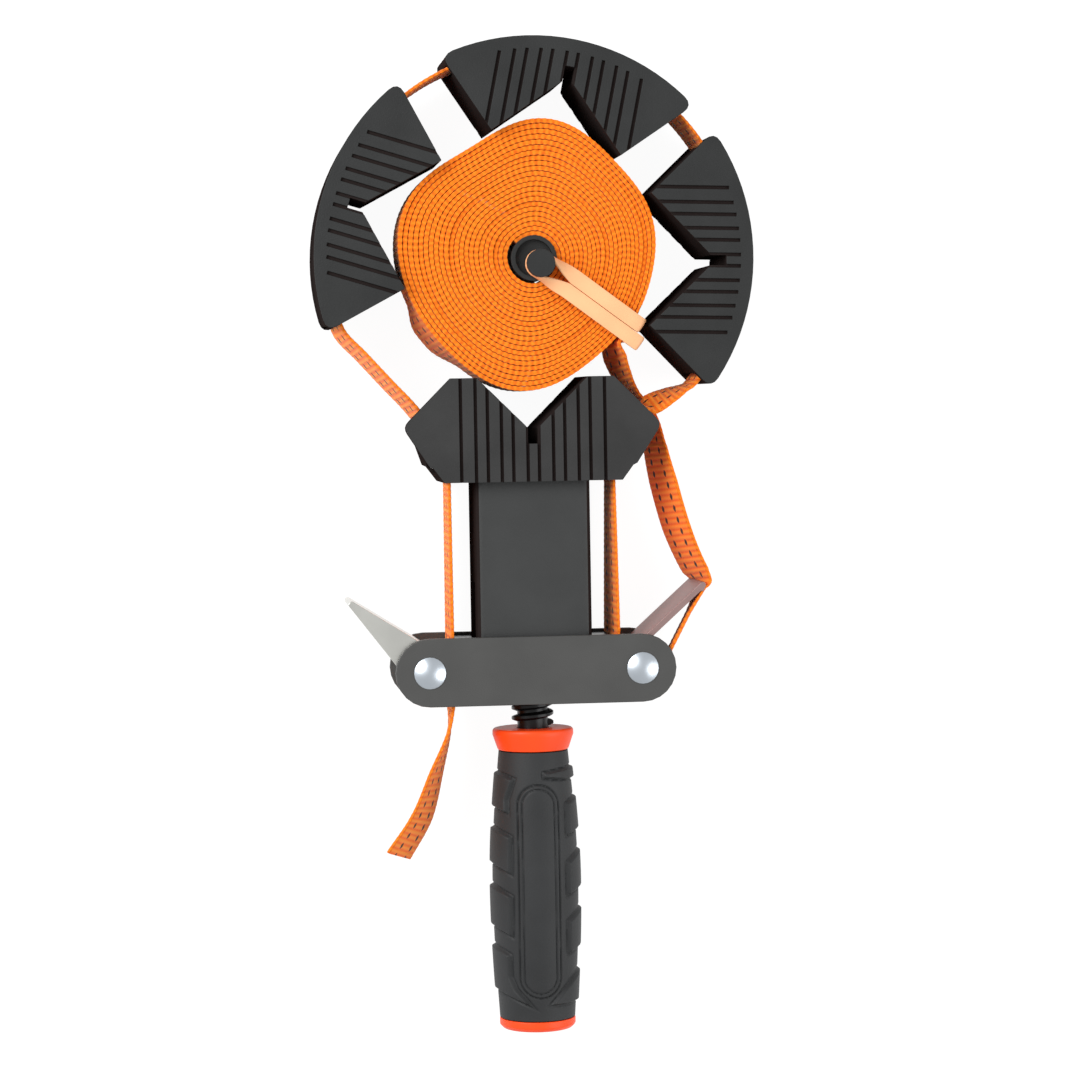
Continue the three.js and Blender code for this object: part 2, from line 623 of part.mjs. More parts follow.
function coilGeometry() {
  const count = COIL_TURNS * COIL_STEPS;
  const points = Array.from({ length: count + 1 }, (_, i) => coilPoint(i));
  const up = new THREE.Vector3(0, 0, 1);
  let least = Infinity;
  for (let i = 0; i + COIL_STEPS < count; i += 1) {
    for (let k = i + COIL_STEPS - 2; k < Math.min(i + COIL_STEPS + 2, count); k += 1) {
      const side = new THREE.Line3(points[k], points[k + 1]);
      const near = side.closestPointToPoint(points[i], true, new THREE.Vector3());
      least = Math.min(least, near.distanceTo(points[i]) - COIL_THICK);
    }
  }
  console.log(`coil: least gap between turns ${least.toFixed(3)} mm`);
  return bandGeometry(points.map((p, i) => {
    const along = coilPoint(i + 0.5).sub(coilPoint(i - 0.5));
    return ringAt(p, along, up, STRAP_WIDTH, COIL_THICK);
  }));
}

// Core of the coil, with a knob on each side for the rubber band
const KNOB = LOOP.clone().add(KNOB_OFFSET);

function coilCoreGeometry() {
  const dishZ = [STRAP_FRONT_Z - OVER, STRAP_FRONT_Z + 2 * OVER];
  const dish = solidOf(barZ(LOOP.x, LOOP.y, HUB_CORE_R - HUB_RING, ...dishZ));
  const hub = solidOf(barZ(LOOP.x, LOOP.y, HUB_CORE_R, STRAP_BACK_Z, STRAP_FRONT_Z + OVER)).subtract(dish);
  return toGeometry(joinAll([
    hub,
    solidOf(barZ(KNOB.x, KNOB.y, KNOB_NECK_R, BACK_Z + FIT, KNOB_TOP_Z - FIT, 16)),
    solidOf(barZ(KNOB.x, KNOB.y, KNOB_R, KNOB_TOP_Z - KNOB_HEAD_H, KNOB_TOP_Z, 20)),
    solidOf(barZ(KNOB.x, KNOB.y, KNOB_R, BACK_Z, BACK_Z + KNOB_FOOT_H, 20)),
  ]));
}

// Rubber band: round the front knob, out over the coil's edge, round the back knob and home again
function rubberBandGeometry() {
  const out = polar(1, BAND_FOLD_ANGLE);
  const u = new THREE.Vector3(out.x, out.y, 0);
  const v = new THREE.Vector3(-out.y, out.x, 0);
  const up = new THREE.Vector3(0, 0, 1);
  const loopR = KNOB_NECK_R + FIT + BAND_THICK / 2;
  const flat = BAND_THICK / 2 + FIT;
  const past = (BAND_FOLD_ANGLE + 365 - COIL_END_ANGLE) / 360;
  const turn = coilPoint((COIL_TURNS - past) * COIL_STEPS);
  const edgeR = Math.hypot(turn.x - LOOP.x, turn.y - LOOP.y) + COIL_THICK / 2 + flat;
  const frontZ = STRAP_FRONT_Z + flat;
  const backZ = STRAP_BACK_Z - flat;
  const knobFrontZ = (GAP_FRONT_Z + KNOB_TOP_Z - KNOB_HEAD_H) / 2;
  const knobBackZ = (BACK_Z + KNOB_FOOT_H + STRAP_BACK_Z) / 2;
  const stops = [];
  const round = (z, wide, from) => {
    for (let i = 0; i <= 8; i += 1) {
      const p = polar(loopR, BAND_FOLD_ANGLE + from + (wide.z * 180 * i) / 8).add(KNOB);
      stops.push([new THREE.Vector3(p.x, p.y, z), wide, BAND_KNOB_WIDTH]);
    }
  };
  const edge = (side, wide, z0, z1) => {
    const s = Math.sign(z1 - z0);
    const over = [[-14, -1.3], [-4, 0], [-1, 0], [-0.3, 0.3], [0, 1]];
    const way = [
      ...over.map(([r, z]) => [r, z0 + s * z]),
      [0, (z0 + z1) / 2],
      ...over.map(([r, z]) => [r, z1 - s * z]).reverse(),
    ];
    way.forEach(([r, z]) => {
      const p = new THREE.Vector3(LOOP.x, LOOP.y, z).addScaledVector(u, edgeR + r);
      stops.push([p.addScaledVector(v, side), wide, BAND_WIDTH]);
    });
  };
  round(knobFrontZ, up, 90);
  edge(-BAND_SPREAD, v, frontZ, backZ);
  round(knobBackZ, up.clone().negate(), 270);
  edge(BAND_SPREAD, v.clone().negate(), backZ, frontZ);
  const eased = stops.flatMap(([p, wide, width], i) => {
    const [q, nextWide, nextWidth] = stops[(i + 1) % stops.length];
    const parts = wide.distanceTo(nextWide) > 0.1 ? [0, 0.2, 0.4, 0.6, 0.8] : [0];
    return parts.map((f) => [
      p.clone().lerp(q, f),
      wide.clone().lerp(nextWide, f),
      THREE.MathUtils.lerp(width, nextWidth, f),
    ]);
  });
  return bandGeometry(eased.map(([p, wide, width], i) => {
    const before = eased[(i + eased.length - 1) % eased.length][0];
    const after = eased[(i + 1) % eased.length][0];
    return ringAt(p, after.clone().sub(before), wide, width, BAND_THICK);
  }), true);
}

// Runs of webbing, from the cut end of the coil round the right cam, the loop and the left cam
const CAM_TOP_Y = PLATE_R + 1.1; // where the runs on the crossbar end
const CAM_R = HUB_R + FIT + STRAP_THICK / 2;
const JOIN = FIT / 2; // half the gap between two runs
const level = ([x, y]) => [x, y, AXIS_Z, STRAP_WIDTH, 0];
const inFront = ([x, y], width, lean = 0) => [x, y, STRAP_FRONT_Z + FIT - width / 2, width, lean];

function loopGeometry() {
  const right = JAW_ANGLES.right - JAW_HALF_ANGLE - 1.2;
  const left = JAW_ANGLES.left + JAW_HALF_ANGLE + 1.5;
  const ring = arc(BAND_R, right, left, 40, LOOP.x, LOOP.y);
  const start = [STRAND_X, HEAD_BOTTOM_Y + JOIN];
  const route = wingRoute();
  const span = (f) => ENTRY.clone().lerp(new THREE.Vector2(...ring[0]), f).toArray();
  const widths = [STRAP_WIDTH, 24, 22.5, 21, 19.5, 14.5];
  const leftEntry = new THREE.Vector2(-ENTRY.x, ENTRY.y);
  const leftSpan = (f) => new THREE.Vector2(...ring[ring.length - 1]).lerp(leftEntry, f);
  const leaning = (f, lean) => [...leftSpan(f).toArray(), AXIS_Z, STRAP_WIDTH, lean];
  return webbing([
    level(start),
    ...route.map((p, i) => inFront(p, widths[i])),
    inFront(span(0.17), SQUEEZED_WIDTH, 30),
    inFront(span(0.5), 18, 20),
    inFront(span(0.8), 23.5, 8),
    ...ring.map(level),
    leaning(0.35, -5),
    leaning(0.7, -5),
    ...mirrored(route).map(level),
    level([-start[0], start[1]]),
  ], STRAP_THICK, 2);
}

const LEVER_TIP = polar(LEVER_LENGTH, LEVER_ANGLES.right).add(new THREE.Vector2(PIVOT_X, 0));
const OFF_TIP = LEVER_TIP.clone().add(polar(LEVER_TIP_R + FIT + STRAP_THICK / 2, LEVER_ANGLES.right - 90));

function feedGeometry() {
  const end = coilPoint(COIL_TURNS * COIL_STEPS);
  const along = end.clone().sub(coilPoint(COIL_TURNS * COIL_STEPS - 0.5)).setLength(FIT).add(end);
  const endR = Math.hypot(end.x - LOOP.x, end.y - LOOP.y);
  const beside = (out, angle) => level(polar(endR + out, angle).add(LOOP).toArray());
  const wrapR = LEVER_TIP_R + FIT + STRAP_THICK / 2;
  const wrap = [LEVER_ANGLES.right - 22, LEVER_ANGLES.right - 81];
  const tip = arc(wrapR, ...wrap, 2, LEVER_TIP.x, LEVER_TIP.y);
  return webbing([
    level([along.x, along.y]),
    beside(0.5, COIL_END_ANGLE - 9),
    beside(0.9, COIL_END_ANGLE - 15),
    [32.7, 100.5, AXIS_Z - 0.8, 23.5, -10],
    [33.9, 93, AXIS_Z - 3.4, 19.5, -10],
    [37.4, 87.2, AXIS_Z - 7, 14.5, 0],
    [40.3, 83.4, AXIS_Z - 8, SQUEEZED_WIDTH, 0],
    [42.6, 78.2, AXIS_Z - 6, 16, -10],
    [43.9, 70, AXIS_Z - 2, 22, -16],
    [45.4, 59, AXIS_Z, STRAP_WIDTH, -20],
    [48.4, 44, AXIS_Z, STRAP_WIDTH, -18],
    [52.2, 35.5, AXIS_Z, STRAP_WIDTH, -11],
    [54.9, 30.2, AXIS_Z, STRAP_WIDTH, -5],
    ...tip.map(level),
  ], STRAP_THICK, 3);
}

function camGeometry() {
  const from = OFF_TIP.clone().sub(new THREE.Vector2(PIVOT_X, 0));
  const touch = THREE.MathUtils.radToDeg(from.angle() - Math.acos(CAM_R / from.length()));
  return webbing([
    level(OFF_TIP.toArray()),
    ...arc(CAM_R, touch, -180, 10, PIVOT_X).map(level),
    level([STRAND_X, CAM_TOP_Y - JOIN]),
  ], STRAP_THICK, 2);
}

function strandGeometry(x) {
  return webbing([[x, CAM_TOP_Y + JOIN], [x, HEAD_BOTTOM_Y - JOIN]].map(level), STRAP_THICK, 8);
}

function tailGeometry() {
  return webbing([
    level([-STRAND_X, CAM_TOP_Y - JOIN]),
    level([-STRAND_X, 0]),
    level([-STRAND_X, -PLATE_R]),
    [-27.2, -20, AXIS_Z, STRAP_WIDTH, 6],
    [-31.4, -33, AXIS_Z, STRAP_WIDTH, 14],
    [-36.6, -48, AXIS_Z, STRAP_WIDTH, 21],
    [-44.2, -60, AXIS_Z, STRAP_WIDTH, 24],
  ], STRAP_THICK, 3);
}

// Colours
const BLACK_PLASTIC = { color: 0x3c3d3d, roughness: 0.55, metalness: 0 };
const DARK_PAINT = { color: 0x5a5a58, roughness: 0.45, metalness: 0.6 };
const BLACK_STEEL = { color: 0x202122, roughness: 0.4, metalness: 0.8 };
const ZINC = { color: 0xd2d2cd, roughness: 0.3, metalness: 0.9 };
const ORANGE_PLASTIC = { color: 0xff501a, roughness: 0.4, metalness: 0 };
const GRIP_RUBBER = { color: 0x414142, roughness: 0.7, metalness: 0 };
const WEBBING = { color: 0xff8219, roughness: 0.85, metalness: 0 };
const RUBBER = { color: 0xf0b98c, roughness: 0.6, metalness: 0 };

const clamp = new THREE.Group();
clamp.name = 'band_clamp';

function add(name, geometry, look, x = 0, y = 0, turn = 0) {
  const body = closedBody(geometry);
  body.computeVertexNormals();
  const mesh = new THREE.Mesh(body, new THREE.MeshStandardMaterial(look));
  mesh.name = name;
  mesh.position.set(x, y, 0);
  mesh.rotation.z = deg(turn);
  clamp.add(mesh);
}

add('fixed_jaw', headGeometry(), BLACK_PLASTIC);
add('guide_tube', tubeGeometry(), DARK_PAINT);
add('guide_pin_left', guidePinGeometry(), ZINC, -PIN.x, PIN.y);
add('guide_pin_right', guidePinGeometry(), ZINC, PIN.x, PIN.y);
add('thrust_plate', thrustPlateGeometry(), BLACK_STEEL);
Object.entries(JAW_ANGLES).forEach(([side, turn]) => {
  add(`jaw_${side}`, jawGeometry(), BLACK_PLASTIC, LOOP.x, LOOP.y, turn);
});
add('front_plate', plateGeometry(GAP_FRONT_Z), DARK_PAINT);
add('rear_plate', plateGeometry(GAP_BACK_Z - PLATE_THICK), DARK_PAINT);
add('rivet_left', rivetGeometry(), ZINC, -PIVOT_X);
add('rivet_right', rivetGeometry(), ZINC, PIVOT_X);
add('threaded_bridge', bridgeGeometry(), BLACK_STEEL);
add('lever_left', leverGeometry(-1, true), ZINC, -PIVOT_X, 0, LEVER_ANGLES.left);
add('lever_right', leverGeometry(1, false), ZINC, PIVOT_X, 0, LEVER_ANGLES.right);
add('spindle', screwGeometry(), BLACK_STEEL);
add('retaining_clip', clipGeometry(), ZINC);
add('handle_core', handleCoreGeometry(), ORANGE_PLASTIC);
add('handle_grip', gripGeometry(), GRIP_RUBBER);
add('strap_coil', coilGeometry(), WEBBING);
add('coil_core', coilCoreGeometry(), BLACK_PLASTIC);
add('rubber_band', rubberBandGeometry(), RUBBER);
add('strap_loop', loopGeometry(), WEBBING);
add('strap_feed', feedGeometry(), WEBBING);
add('strap_cam', camGeometry(), WEBBING);
add('strap_strand_right', strandGeometry(STRAND_X), WEBBING);
add('strap_strand_left', strandGeometry(-STRAND_X), WEBBING);
add('strap_tail', tailGeometry(), WEBBING);

// The origin goes to the middle of the underside
const box = new THREE.Box3().setFromObject(clamp, true);
const base = box.getCenter(new THREE.Vector3()).setZ(box.min.z);
clamp.children.forEach((mesh) => mesh.position.sub(base));
console.log(`origin moved by ${base.toArray().map((v) => v.toFixed(4)).join(', ')} mm`);
console.log(`size ${box.getSize(new THREE.Vector3()).toArray().map((v) => v.toFixed(2)).join(' x ')} mm`);

export default clamp;
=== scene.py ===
# %% [markdown]
# # A band clamp, dressed in Blender
# The clamp is a hand tool for gluing frames. A loop of orange webbing carries V-shaped corner jaws, a screw with a
# handle pulls the loop tight, and two cam levers hold the webbing's ends. The construction is already there as
# solids, in metres. This lesson gives every surface its finish and remodels what is soft or fine: the webbing, the
# rubber band, the screw's thread and the grip.

# %% Load the construction
import math
import bpy
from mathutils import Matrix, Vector


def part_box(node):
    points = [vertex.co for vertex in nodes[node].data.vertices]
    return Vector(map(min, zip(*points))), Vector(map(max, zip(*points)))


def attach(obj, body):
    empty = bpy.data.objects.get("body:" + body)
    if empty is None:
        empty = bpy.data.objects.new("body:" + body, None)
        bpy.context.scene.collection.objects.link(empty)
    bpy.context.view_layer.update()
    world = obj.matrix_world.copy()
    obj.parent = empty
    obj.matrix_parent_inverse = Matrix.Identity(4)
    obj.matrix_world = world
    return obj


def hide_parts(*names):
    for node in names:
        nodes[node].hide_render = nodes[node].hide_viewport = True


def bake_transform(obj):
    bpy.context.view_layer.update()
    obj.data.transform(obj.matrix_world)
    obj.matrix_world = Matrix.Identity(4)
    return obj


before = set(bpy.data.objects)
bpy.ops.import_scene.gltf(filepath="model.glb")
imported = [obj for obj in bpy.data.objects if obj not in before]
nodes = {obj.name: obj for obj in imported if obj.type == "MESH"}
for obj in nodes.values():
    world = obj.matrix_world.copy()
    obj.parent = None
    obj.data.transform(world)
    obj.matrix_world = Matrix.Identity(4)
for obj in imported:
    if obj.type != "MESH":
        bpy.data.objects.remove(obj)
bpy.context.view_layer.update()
MM = 0.001

# %% [markdown]
# The solids were drawn in the tool's own frame, with its origin at the middle of the crossbar and on the screw's
# axis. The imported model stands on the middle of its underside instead. The crossbar's plate and the rivets' heads
# say how far apart the two are, so every place below can be written as it was drawn.

# %% The tool's own frame
plate_low, plate_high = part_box("front_plate")
rivet_low, rivet_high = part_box("rivet_left")
AXIS_Z = 17.5
DRAWN = Vector(((plate_low.x + plate_high.x) / 2, (plate_low.y + plate_high.y) / 2,
                (rivet_low.z + rivet_high.z) / 2 - AXIS_Z * MM))


def place(x, y, z):
    """A point of the drawing, in millimetres, as a point of the model."""
    return DRAWN + Vector((x, y, z)) * MM


print("drawing's origin in mm:", [round(v / MM, 2) for v in DRAWN])

# %% [markdown]
# The photograph looks almost straight down on the tool, from a little to its left. So does the camera, with the small
# roll that tilts the crossbar. The target is the middle of the picture on the jaws' front faces.

# %% Camera
VIEW_TARGET = place(0, 43.3, 34.5)
VIEW_OFFSET = Vector((-110, 42, 1020)) * MM
VIEW_ANGLE = math.radians(18.79)
VIEW_ROLL = math.radians(1)

bpy.ops.object.select_all(action="DESELECT")
bpy.ops.object.camera_add(location=VIEW_TARGET + VIEW_OFFSET)
camera = bpy.context.object
camera.name = "photo_camera"
sight = -VIEW_OFFSET.normalized()
up_hint = Vector((math.sin(VIEW_ROLL), math.cos(VIEW_ROLL), 0))
right = sight.cross(up_hint).normalized()
up = right.cross(sight)
turn = camera.matrix_world.to_3x3()
for row in range(3):
    turn[row][0], turn[row][1], turn[row][2] = right[row], up[row], -sight[row]
camera.rotation_euler = turn.to_euler()
camera.data.sensor_fit = "HORIZONTAL"
camera.data.angle = VIEW_ANGLE
bpy.context.scene.camera = camera
print("camera at mm:", [round(v / MM) for v in camera.location])

# %% [markdown]
# The light is that of a product table: one broad lamp above to the left, a weaker one to the right, and an even pale
# sky.

# %% Lamps and sky
scene = bpy.context.scene
scene.view_settings.view_transform = "Standard"


def area_lamp(name, spot, aim, size, watts):
    bpy.ops.object.light_add(type="AREA", location=spot)
    lamp = bpy.context.object
    lamp.name = name
    lamp.data.shape = "DISK"
    lamp.data.size = size
    lamp.data.energy = watts
    lamp.rotation_euler = (aim - spot).to_track_quat("-Z", "Y").to_euler()


middle = place(0, 42, 17)
area_lamp("lamp_left", middle + Vector((-0.65, 0.4, 0.65)), middle, 0.7, 9)
area_lamp("lamp_right", middle + Vector((0.75, -0.2, 0.6)), middle, 0.8, 4)

world = bpy.data.worlds.new("pale_sky")
scene.world = world
world.use_nodes = True
world.node_tree.nodes["Background"].inputs["Color"].default_value = (1, 1, 1, 1)
world.node_tree.nodes["Background"].inputs["Strength"].default_value = 0.65

# %% [markdown]
# The floor is white paper, which throws light back on the tool's sides. For the camera it glows a little and has only
# a soft shadow. One white for both would either grey the picture or flood the tool with light, so the paper asks
# which kind of ray it is seen by.

# %% The paper floor
GLOW, PAPER_WHITE, PAPER_IN_VIEW = 0.95, 0.8, 0.12
bpy.ops.mesh.primitive_plane_add(size=6, location=(0, 0, 0))
floor = bpy.context.object
floor.name = "floor"
paper = bpy.data.materials.new("white_paper")
paper.use_nodes = True
tree = paper.node_tree
tree.nodes.clear()
sheet_out = tree.nodes.new("ShaderNodeOutputMaterial")
both = tree.nodes.new("ShaderNodeAddShader")
matte = tree.nodes.new("ShaderNodeBsdfDiffuse")
glow = tree.nodes.new("ShaderNodeEmission")
path = tree.nodes.new("ShaderNodeLightPath")
seen = tree.nodes.new("ShaderNodeMath")
seen.operation = "MAXIMUM"
lit = tree.nodes.new("ShaderNodeMath")
lit.operation = "MULTIPLY"
lit.inputs[1].default_value = GLOW
shade = tree.nodes.new("ShaderNodeMapRange")
shade.inputs["To Min"].default_value = PAPER_WHITE
shade.inputs["To Max"].default_value = PAPER_IN_VIEW
tree.links.new(path.outputs["Is Camera Ray"], seen.inputs[0])
tree.links.new(path.outputs["Is Glossy Ray"], seen.inputs[1])
tree.links.new(seen.outputs[0], lit.inputs[0])
tree.links.new(lit.outputs[0], glow.inputs["Strength"])
tree.links.new(seen.outputs[0], shade.inputs["Value"])
tree.links.new(shade.outputs["Result"], matte.inputs["Color"])
tree.links.new(matte.outputs[0], both.inputs[0])
tree.links.new(glow.outputs[0], both.inputs[1])
tree.links.new(both.outputs[0], sheet_out.inputs["Surface"])
floor.data.materials.append(paper)
print("floor of", paper.name, "with", len(tree.nodes), "nodes")

# %% [markdown]
# ## Finishes
# Each finish is a small node tree around one Principled shader. The nodes could be set up one by one for every
# finish, but they would repeat themselves. So a small class starts the tree and has a short way to add each kind of
# node, and every finish then gets what makes it that material.

# %% Colours, and a finish under construction


def srgb(red, green, blue):
    """A colour as a picture editor writes it, from 0 to 255, turned to the light values that shaders use."""
    channel = [v / 255 for v in (red, green, blue)]
    return tuple(v / 12.92 if v <= 0.04045 else ((v + 0.055) / 1.055) ** 2.4 for v in channel) + (1,)


class Finish:
    """A material under construction, with short ways to add and join nodes."""

    def __init__(self, name, colour, roughness, metallic=0.0):
        self.material = bpy.data.materials.new(name)
        self.material.use_nodes = True
        self.tree = self.material.node_tree
        self.shader = self.tree.nodes["Principled BSDF"]
        self.shader.inputs["Base Color"].default_value = colour
        self.shader.inputs["Roughness"].default_value = roughness
        self.shader.inputs["Metallic"].default_value = metallic
        self.place = self.add("ShaderNodeTexCoord")

    def add(self, kind, **settings):
        node = self.tree.nodes.new(kind)
        for key, value in settings.items():
            setattr(node, key, value)
        return node

    def join(self, start, end):
        self.tree.links.new(start, end)

    def noise(self, scale, detail=4.0):
        node = self.add("ShaderNodeTexNoise")
        node.inputs["Scale"].default_value = scale
        node.inputs["Detail"].default_value = detail
        self.join(self.place.outputs["Object"], node.inputs["Vector"])
        return node.outputs["Fac"]

    def ramp(self, value, stops):
        node = self.add("ShaderNodeValToRGB")
        elements = node.color_ramp.elements
        while len(elements) < len(stops):
            elements.new(0.5)
        for element, (position, colour) in zip(elements, stops):
            element.position = position
            element.color = colour
        self.join(value, node.inputs["Fac"])
        return node.outputs["Color"]

    def math(self, operation, first, second=0.0):
        node = self.add("ShaderNodeMath", operation=operation)
        for socket, value in zip(node.inputs, (first, second)):
            if isinstance(value, (int, float)):
                socket.default_value = value
            else:
                self.join(value, socket)
        return node.outputs[0]

    def spread(self, value, low, high):
        node = self.add("ShaderNodeMapRange")
        node.inputs["To Min"].default_value = low
        node.inputs["To Max"].default_value = high
        self.join(value, node.inputs["Value"])
        return node.outputs["Result"]

    def bump(self, height, distance):
        node = self.add("ShaderNodeBump")
        node.inputs["Distance"].default_value = distance
        node.inputs["Strength"].default_value = 1
        self.join(height, node.inputs["Height"])
        self.join(node.outputs["Normal"], self.shader.inputs["Normal"])


# %% [markdown]
# Most of the tool is moulded, painted or plated. Such a surface is never one even colour. It has soft clouds in its
# colour and its gloss, and a fine grain that breaks up the light.

# %% Moulded, painted and plated finishes


def coated(name, colour, roughness, grain, depth, metallic=0.0, vary=0.12, specular=0.5):
    """A material with fine grain in its bump and soft clouds in its colour and roughness."""
    finish = Finish(name, colour, roughness, metallic)
    finish.shader.inputs["Specular IOR Level"].default_value = specular
    clouds = finish.noise(60)
    darker = tuple(c * (1 - vary) for c in colour[:3]) + (1,)
    lighter = tuple(min(1, c * (1 + vary)) for c in colour[:3]) + (1,)
    finish.join(finish.ramp(clouds, [(0.35, darker), (0.65, lighter)]), finish.shader.inputs["Base Color"])
    finish.join(finish.spread(clouds, roughness - 0.06, roughness + 0.06), finish.shader.inputs["Roughness"])
    finish.bump(finish.noise(grain, 2), depth)
    return finish.material


jaw_plastic = coated("jaw_plastic", srgb(41, 42, 42), 0.55, 2600, 0.00012, specular=0.22)
head_plastic = coated("head_plastic", srgb(48, 48, 48), 0.55, 2600, 0.00012, specular=0.22)
grip_rubber = coated("grip_rubber", srgb(43, 44, 45), 0.58, 1800, 0.00006, specular=0.3)
orange_plastic = coated("orange_plastic", srgb(250, 74, 22), 0.42, 1500, 0.00002, vary=0.04, specular=0.3)
dark_paint = coated("dark_paint", srgb(70, 70, 69), 0.5, 2200, 0.00005, vary=0.06, specular=0.3)
tube_paint = coated("tube_paint", srgb(54, 55, 55), 0.5, 2600, 0.0001, vary=0.06, specular=0.25)
black_steel = coated("black_steel", srgb(30, 30, 31), 0.3, 900, 0.00003, metallic=0.6)
band_rubber = coated("band_rubber", srgb(240, 180, 132), 0.5, 700, 0.00004, vary=0.05, specular=0.25)
print("finishes:", [m.name for m in bpy.data.materials])

# %% [markdown]
# ## Webbing
# The strap is one long piece of flat webbing with cross ribs and two rows of black tracer threads. It is laid as a
# maker would: a flat grid is the unrolled strap, its rows are carried along the route that the solids follow, and
# Solidify gives it thickness. A weight for each corner makes the thickness swell and sink, so the ribs are real and
# the edges are thin. The grid's own map keeps the place across the strap and the distance along it, for the finish.

# %% The strap's finish
STRAP_WIDTH = 25
STRAP_THICK = 1.3
RIB = 1.95
YARNS = 34
TRACER_AT, TRACER_HALF_WIDTH, TRACER_HALF_LENGTH = 0.21, 0.042, 0.31
SELVEDGE_AT = 0.47


def woven(name):
    finish = Finish(name, srgb(255, 134, 26), 0.78)
    finish.shader.inputs["Specular IOR Level"].default_value = 0.2
    finish.shader.inputs["Sheen Weight"].default_value = 0.12
    split = finish.add("ShaderNodeSeparateXYZ")
    finish.join(finish.place.outputs["UV"], split.inputs[0])
    across, along = split.outputs["X"], split.outputs["Y"]
    ribs = finish.math("DIVIDE", along, RIB * MM)
    yarn_step = finish.math("PINGPONG", finish.math("MULTIPLY", across, YARNS), 1)
    shifted = finish.math("ADD", ribs, finish.math("MULTIPLY", yarn_step, 0.2))
    wave = finish.math("SINE", finish.math("MULTIPLY", shifted, math.tau))
    height = finish.spread(wave, 0, 1)
    height.node.inputs["From Min"].default_value = -1
    fuzz = finish.math("MULTIPLY", finish.noise(900), 0.3)
    # Rib crests are painted lighter and the valleys darker: painted highlight and painted shade, mixed with random
    # tone from the fuzz.
    rib_light_and_fuzz = finish.math("ADD", finish.math("MULTIPLY", height, 0.7), fuzz)
    yarn = finish.ramp(rib_light_and_fuzz, [(0.1, srgb(240, 98, 8)), (0.4, srgb(255, 124, 18)), (0.85, srgb(255, 148, 44))])
    off_middle = finish.math("ABSOLUTE", finish.math("SUBTRACT", across, 0.5))
    selvedge = finish.add("ShaderNodeMix", data_type="RGBA")
    finish.join(finish.math("GREATER_THAN", off_middle, SELVEDGE_AT), selvedge.inputs["Factor"])
    finish.join(yarn, selvedge.inputs["A"])
    edge_fuzz = finish.math("MULTIPLY", finish.noise(1500), 0.75)
    # The edges get the same painted rib highlight and shade, more weakly, mixed with random tone.
    edge_rib_light_and_fuzz = finish.math("ADD", finish.math("MULTIPLY", height, 0.25), edge_fuzz)
    edge_stops = [(0.3, srgb(216, 94, 4)), (0.5, srgb(236, 118, 10)), (0.7, srgb(250, 134, 26))]
    finish.join(finish.ramp(edge_rib_light_and_fuzz, edge_stops), selvedge.inputs["B"])
    off_row = finish.math("ABSOLUTE", finish.math("SUBTRACT", off_middle, TRACER_AT))
    repeat = finish.math("FRACT", finish.math("DIVIDE", ribs, 2))
    off_dash = finish.math("ABSOLUTE", finish.math("SUBTRACT", repeat, 0.5))
    slim = finish.math("DIVIDE", off_row, TRACER_HALF_WIDTH)
    taper = finish.math("POWER", finish.math("DIVIDE", off_dash, TRACER_HALF_LENGTH), 2)
    tracer = finish.math("LESS_THAN", finish.math("ADD", slim, taper), 1)
    mix = finish.add("ShaderNodeMix", data_type="RGBA")
    mix.inputs["B"].default_value = srgb(40, 22, 14)
    finish.join(tracer, mix.inputs["Factor"])
    finish.join(selvedge.outputs["Result"], mix.inputs["A"])
    finish.join(mix.outputs["Result"], finish.shader.inputs["Base Color"])
    finish.bump(height, 0.00012)
    return finish.material


webbing_finish = woven("webbing")
print("nodes in the webbing's finish:", len(webbing_finish.node_tree.nodes))

# %% [markdown]
# A run of webbing is given by a few stations. A smooth curve through them gives closely spaced rows. Its tangents
# allow for uneven steps, so that it doesn't swing out between a near station and a far one.

# %% A smooth route through stations


def arc(radius, start, end, count, x=0.0, y=0.0):
    angles = [math.radians(start + (end - start) * i / count) for i in range(count + 1)]
    return [(x + radius * math.cos(a), y + radius * math.sin(a)) for a in angles]


STRAP_FINE = 0.54


def smooth_route(stations):
    """Rows (middle, direction, width, lean) along a smooth curve through stations (x, y, z, width, lean)."""
    points = [Vector(s[:3]) for s in stations]
    points = [points[0] * 2 - points[1]] + points + [points[-1] * 2 - points[-2]]
    rows = []
    for k in range(len(stations) - 1):
        p0, p1, p2, p3 = points[k:k + 4]
        d0, d1, d2 = [max((b - a).length ** 0.5, 1e-4) for a, b in ((p0, p1), (p1, p2), (p2, p3))]
        m1 = ((p1 - p0) / d0 - (p2 - p0) / (d0 + d1) + (p2 - p1) / d1) * d1
        m2 = ((p2 - p1) / d1 - (p3 - p1) / (d1 + d2) + (p3 - p2) / d2) * d1
        square, cube = 3 * (p2 - p1) - 2 * m1 - m2, 2 * (p1 - p2) + m1 + m2
        count = max(2, round((p2 - p1).length / STRAP_FINE))
        for i in range(count + (k == len(stations) - 2)):
            t = i / count
            spot = p1 + m1 * t + square * t ** 2 + cube * t ** 3
            way = m1 + 2 * square * t + 3 * cube * t ** 2
            width, lean = [stations[k][c] + (stations[k + 1][c] - stations[k][c]) * t for c in (3, 4)]
            way.z = 0
            rows.append((spot, way.normalized(), width, math.radians(lean)))
    return rows


# %% [markdown]
# The ribbon follows these rows. Its columns stand closer at the edges, where the thickness falls off. The same
# weights also hold the depth of the ribs. A helper stands the ribbon on edge with its lean, and another one gives any
# finished piece its material and its body and hides the solids that it stands for.

# %% A ribbon along rows
COLUMNS = [0, 0.025, 0.07, 0.28, 0.5, 0.72, 0.93, 0.975, 1]
EDGE_WEIGHTS = [0.5, 0.86, 1, 1, 1, 1, 1, 0.86, 0.5]
RIB_DEPTHS = [0.16] * len(COLUMNS)


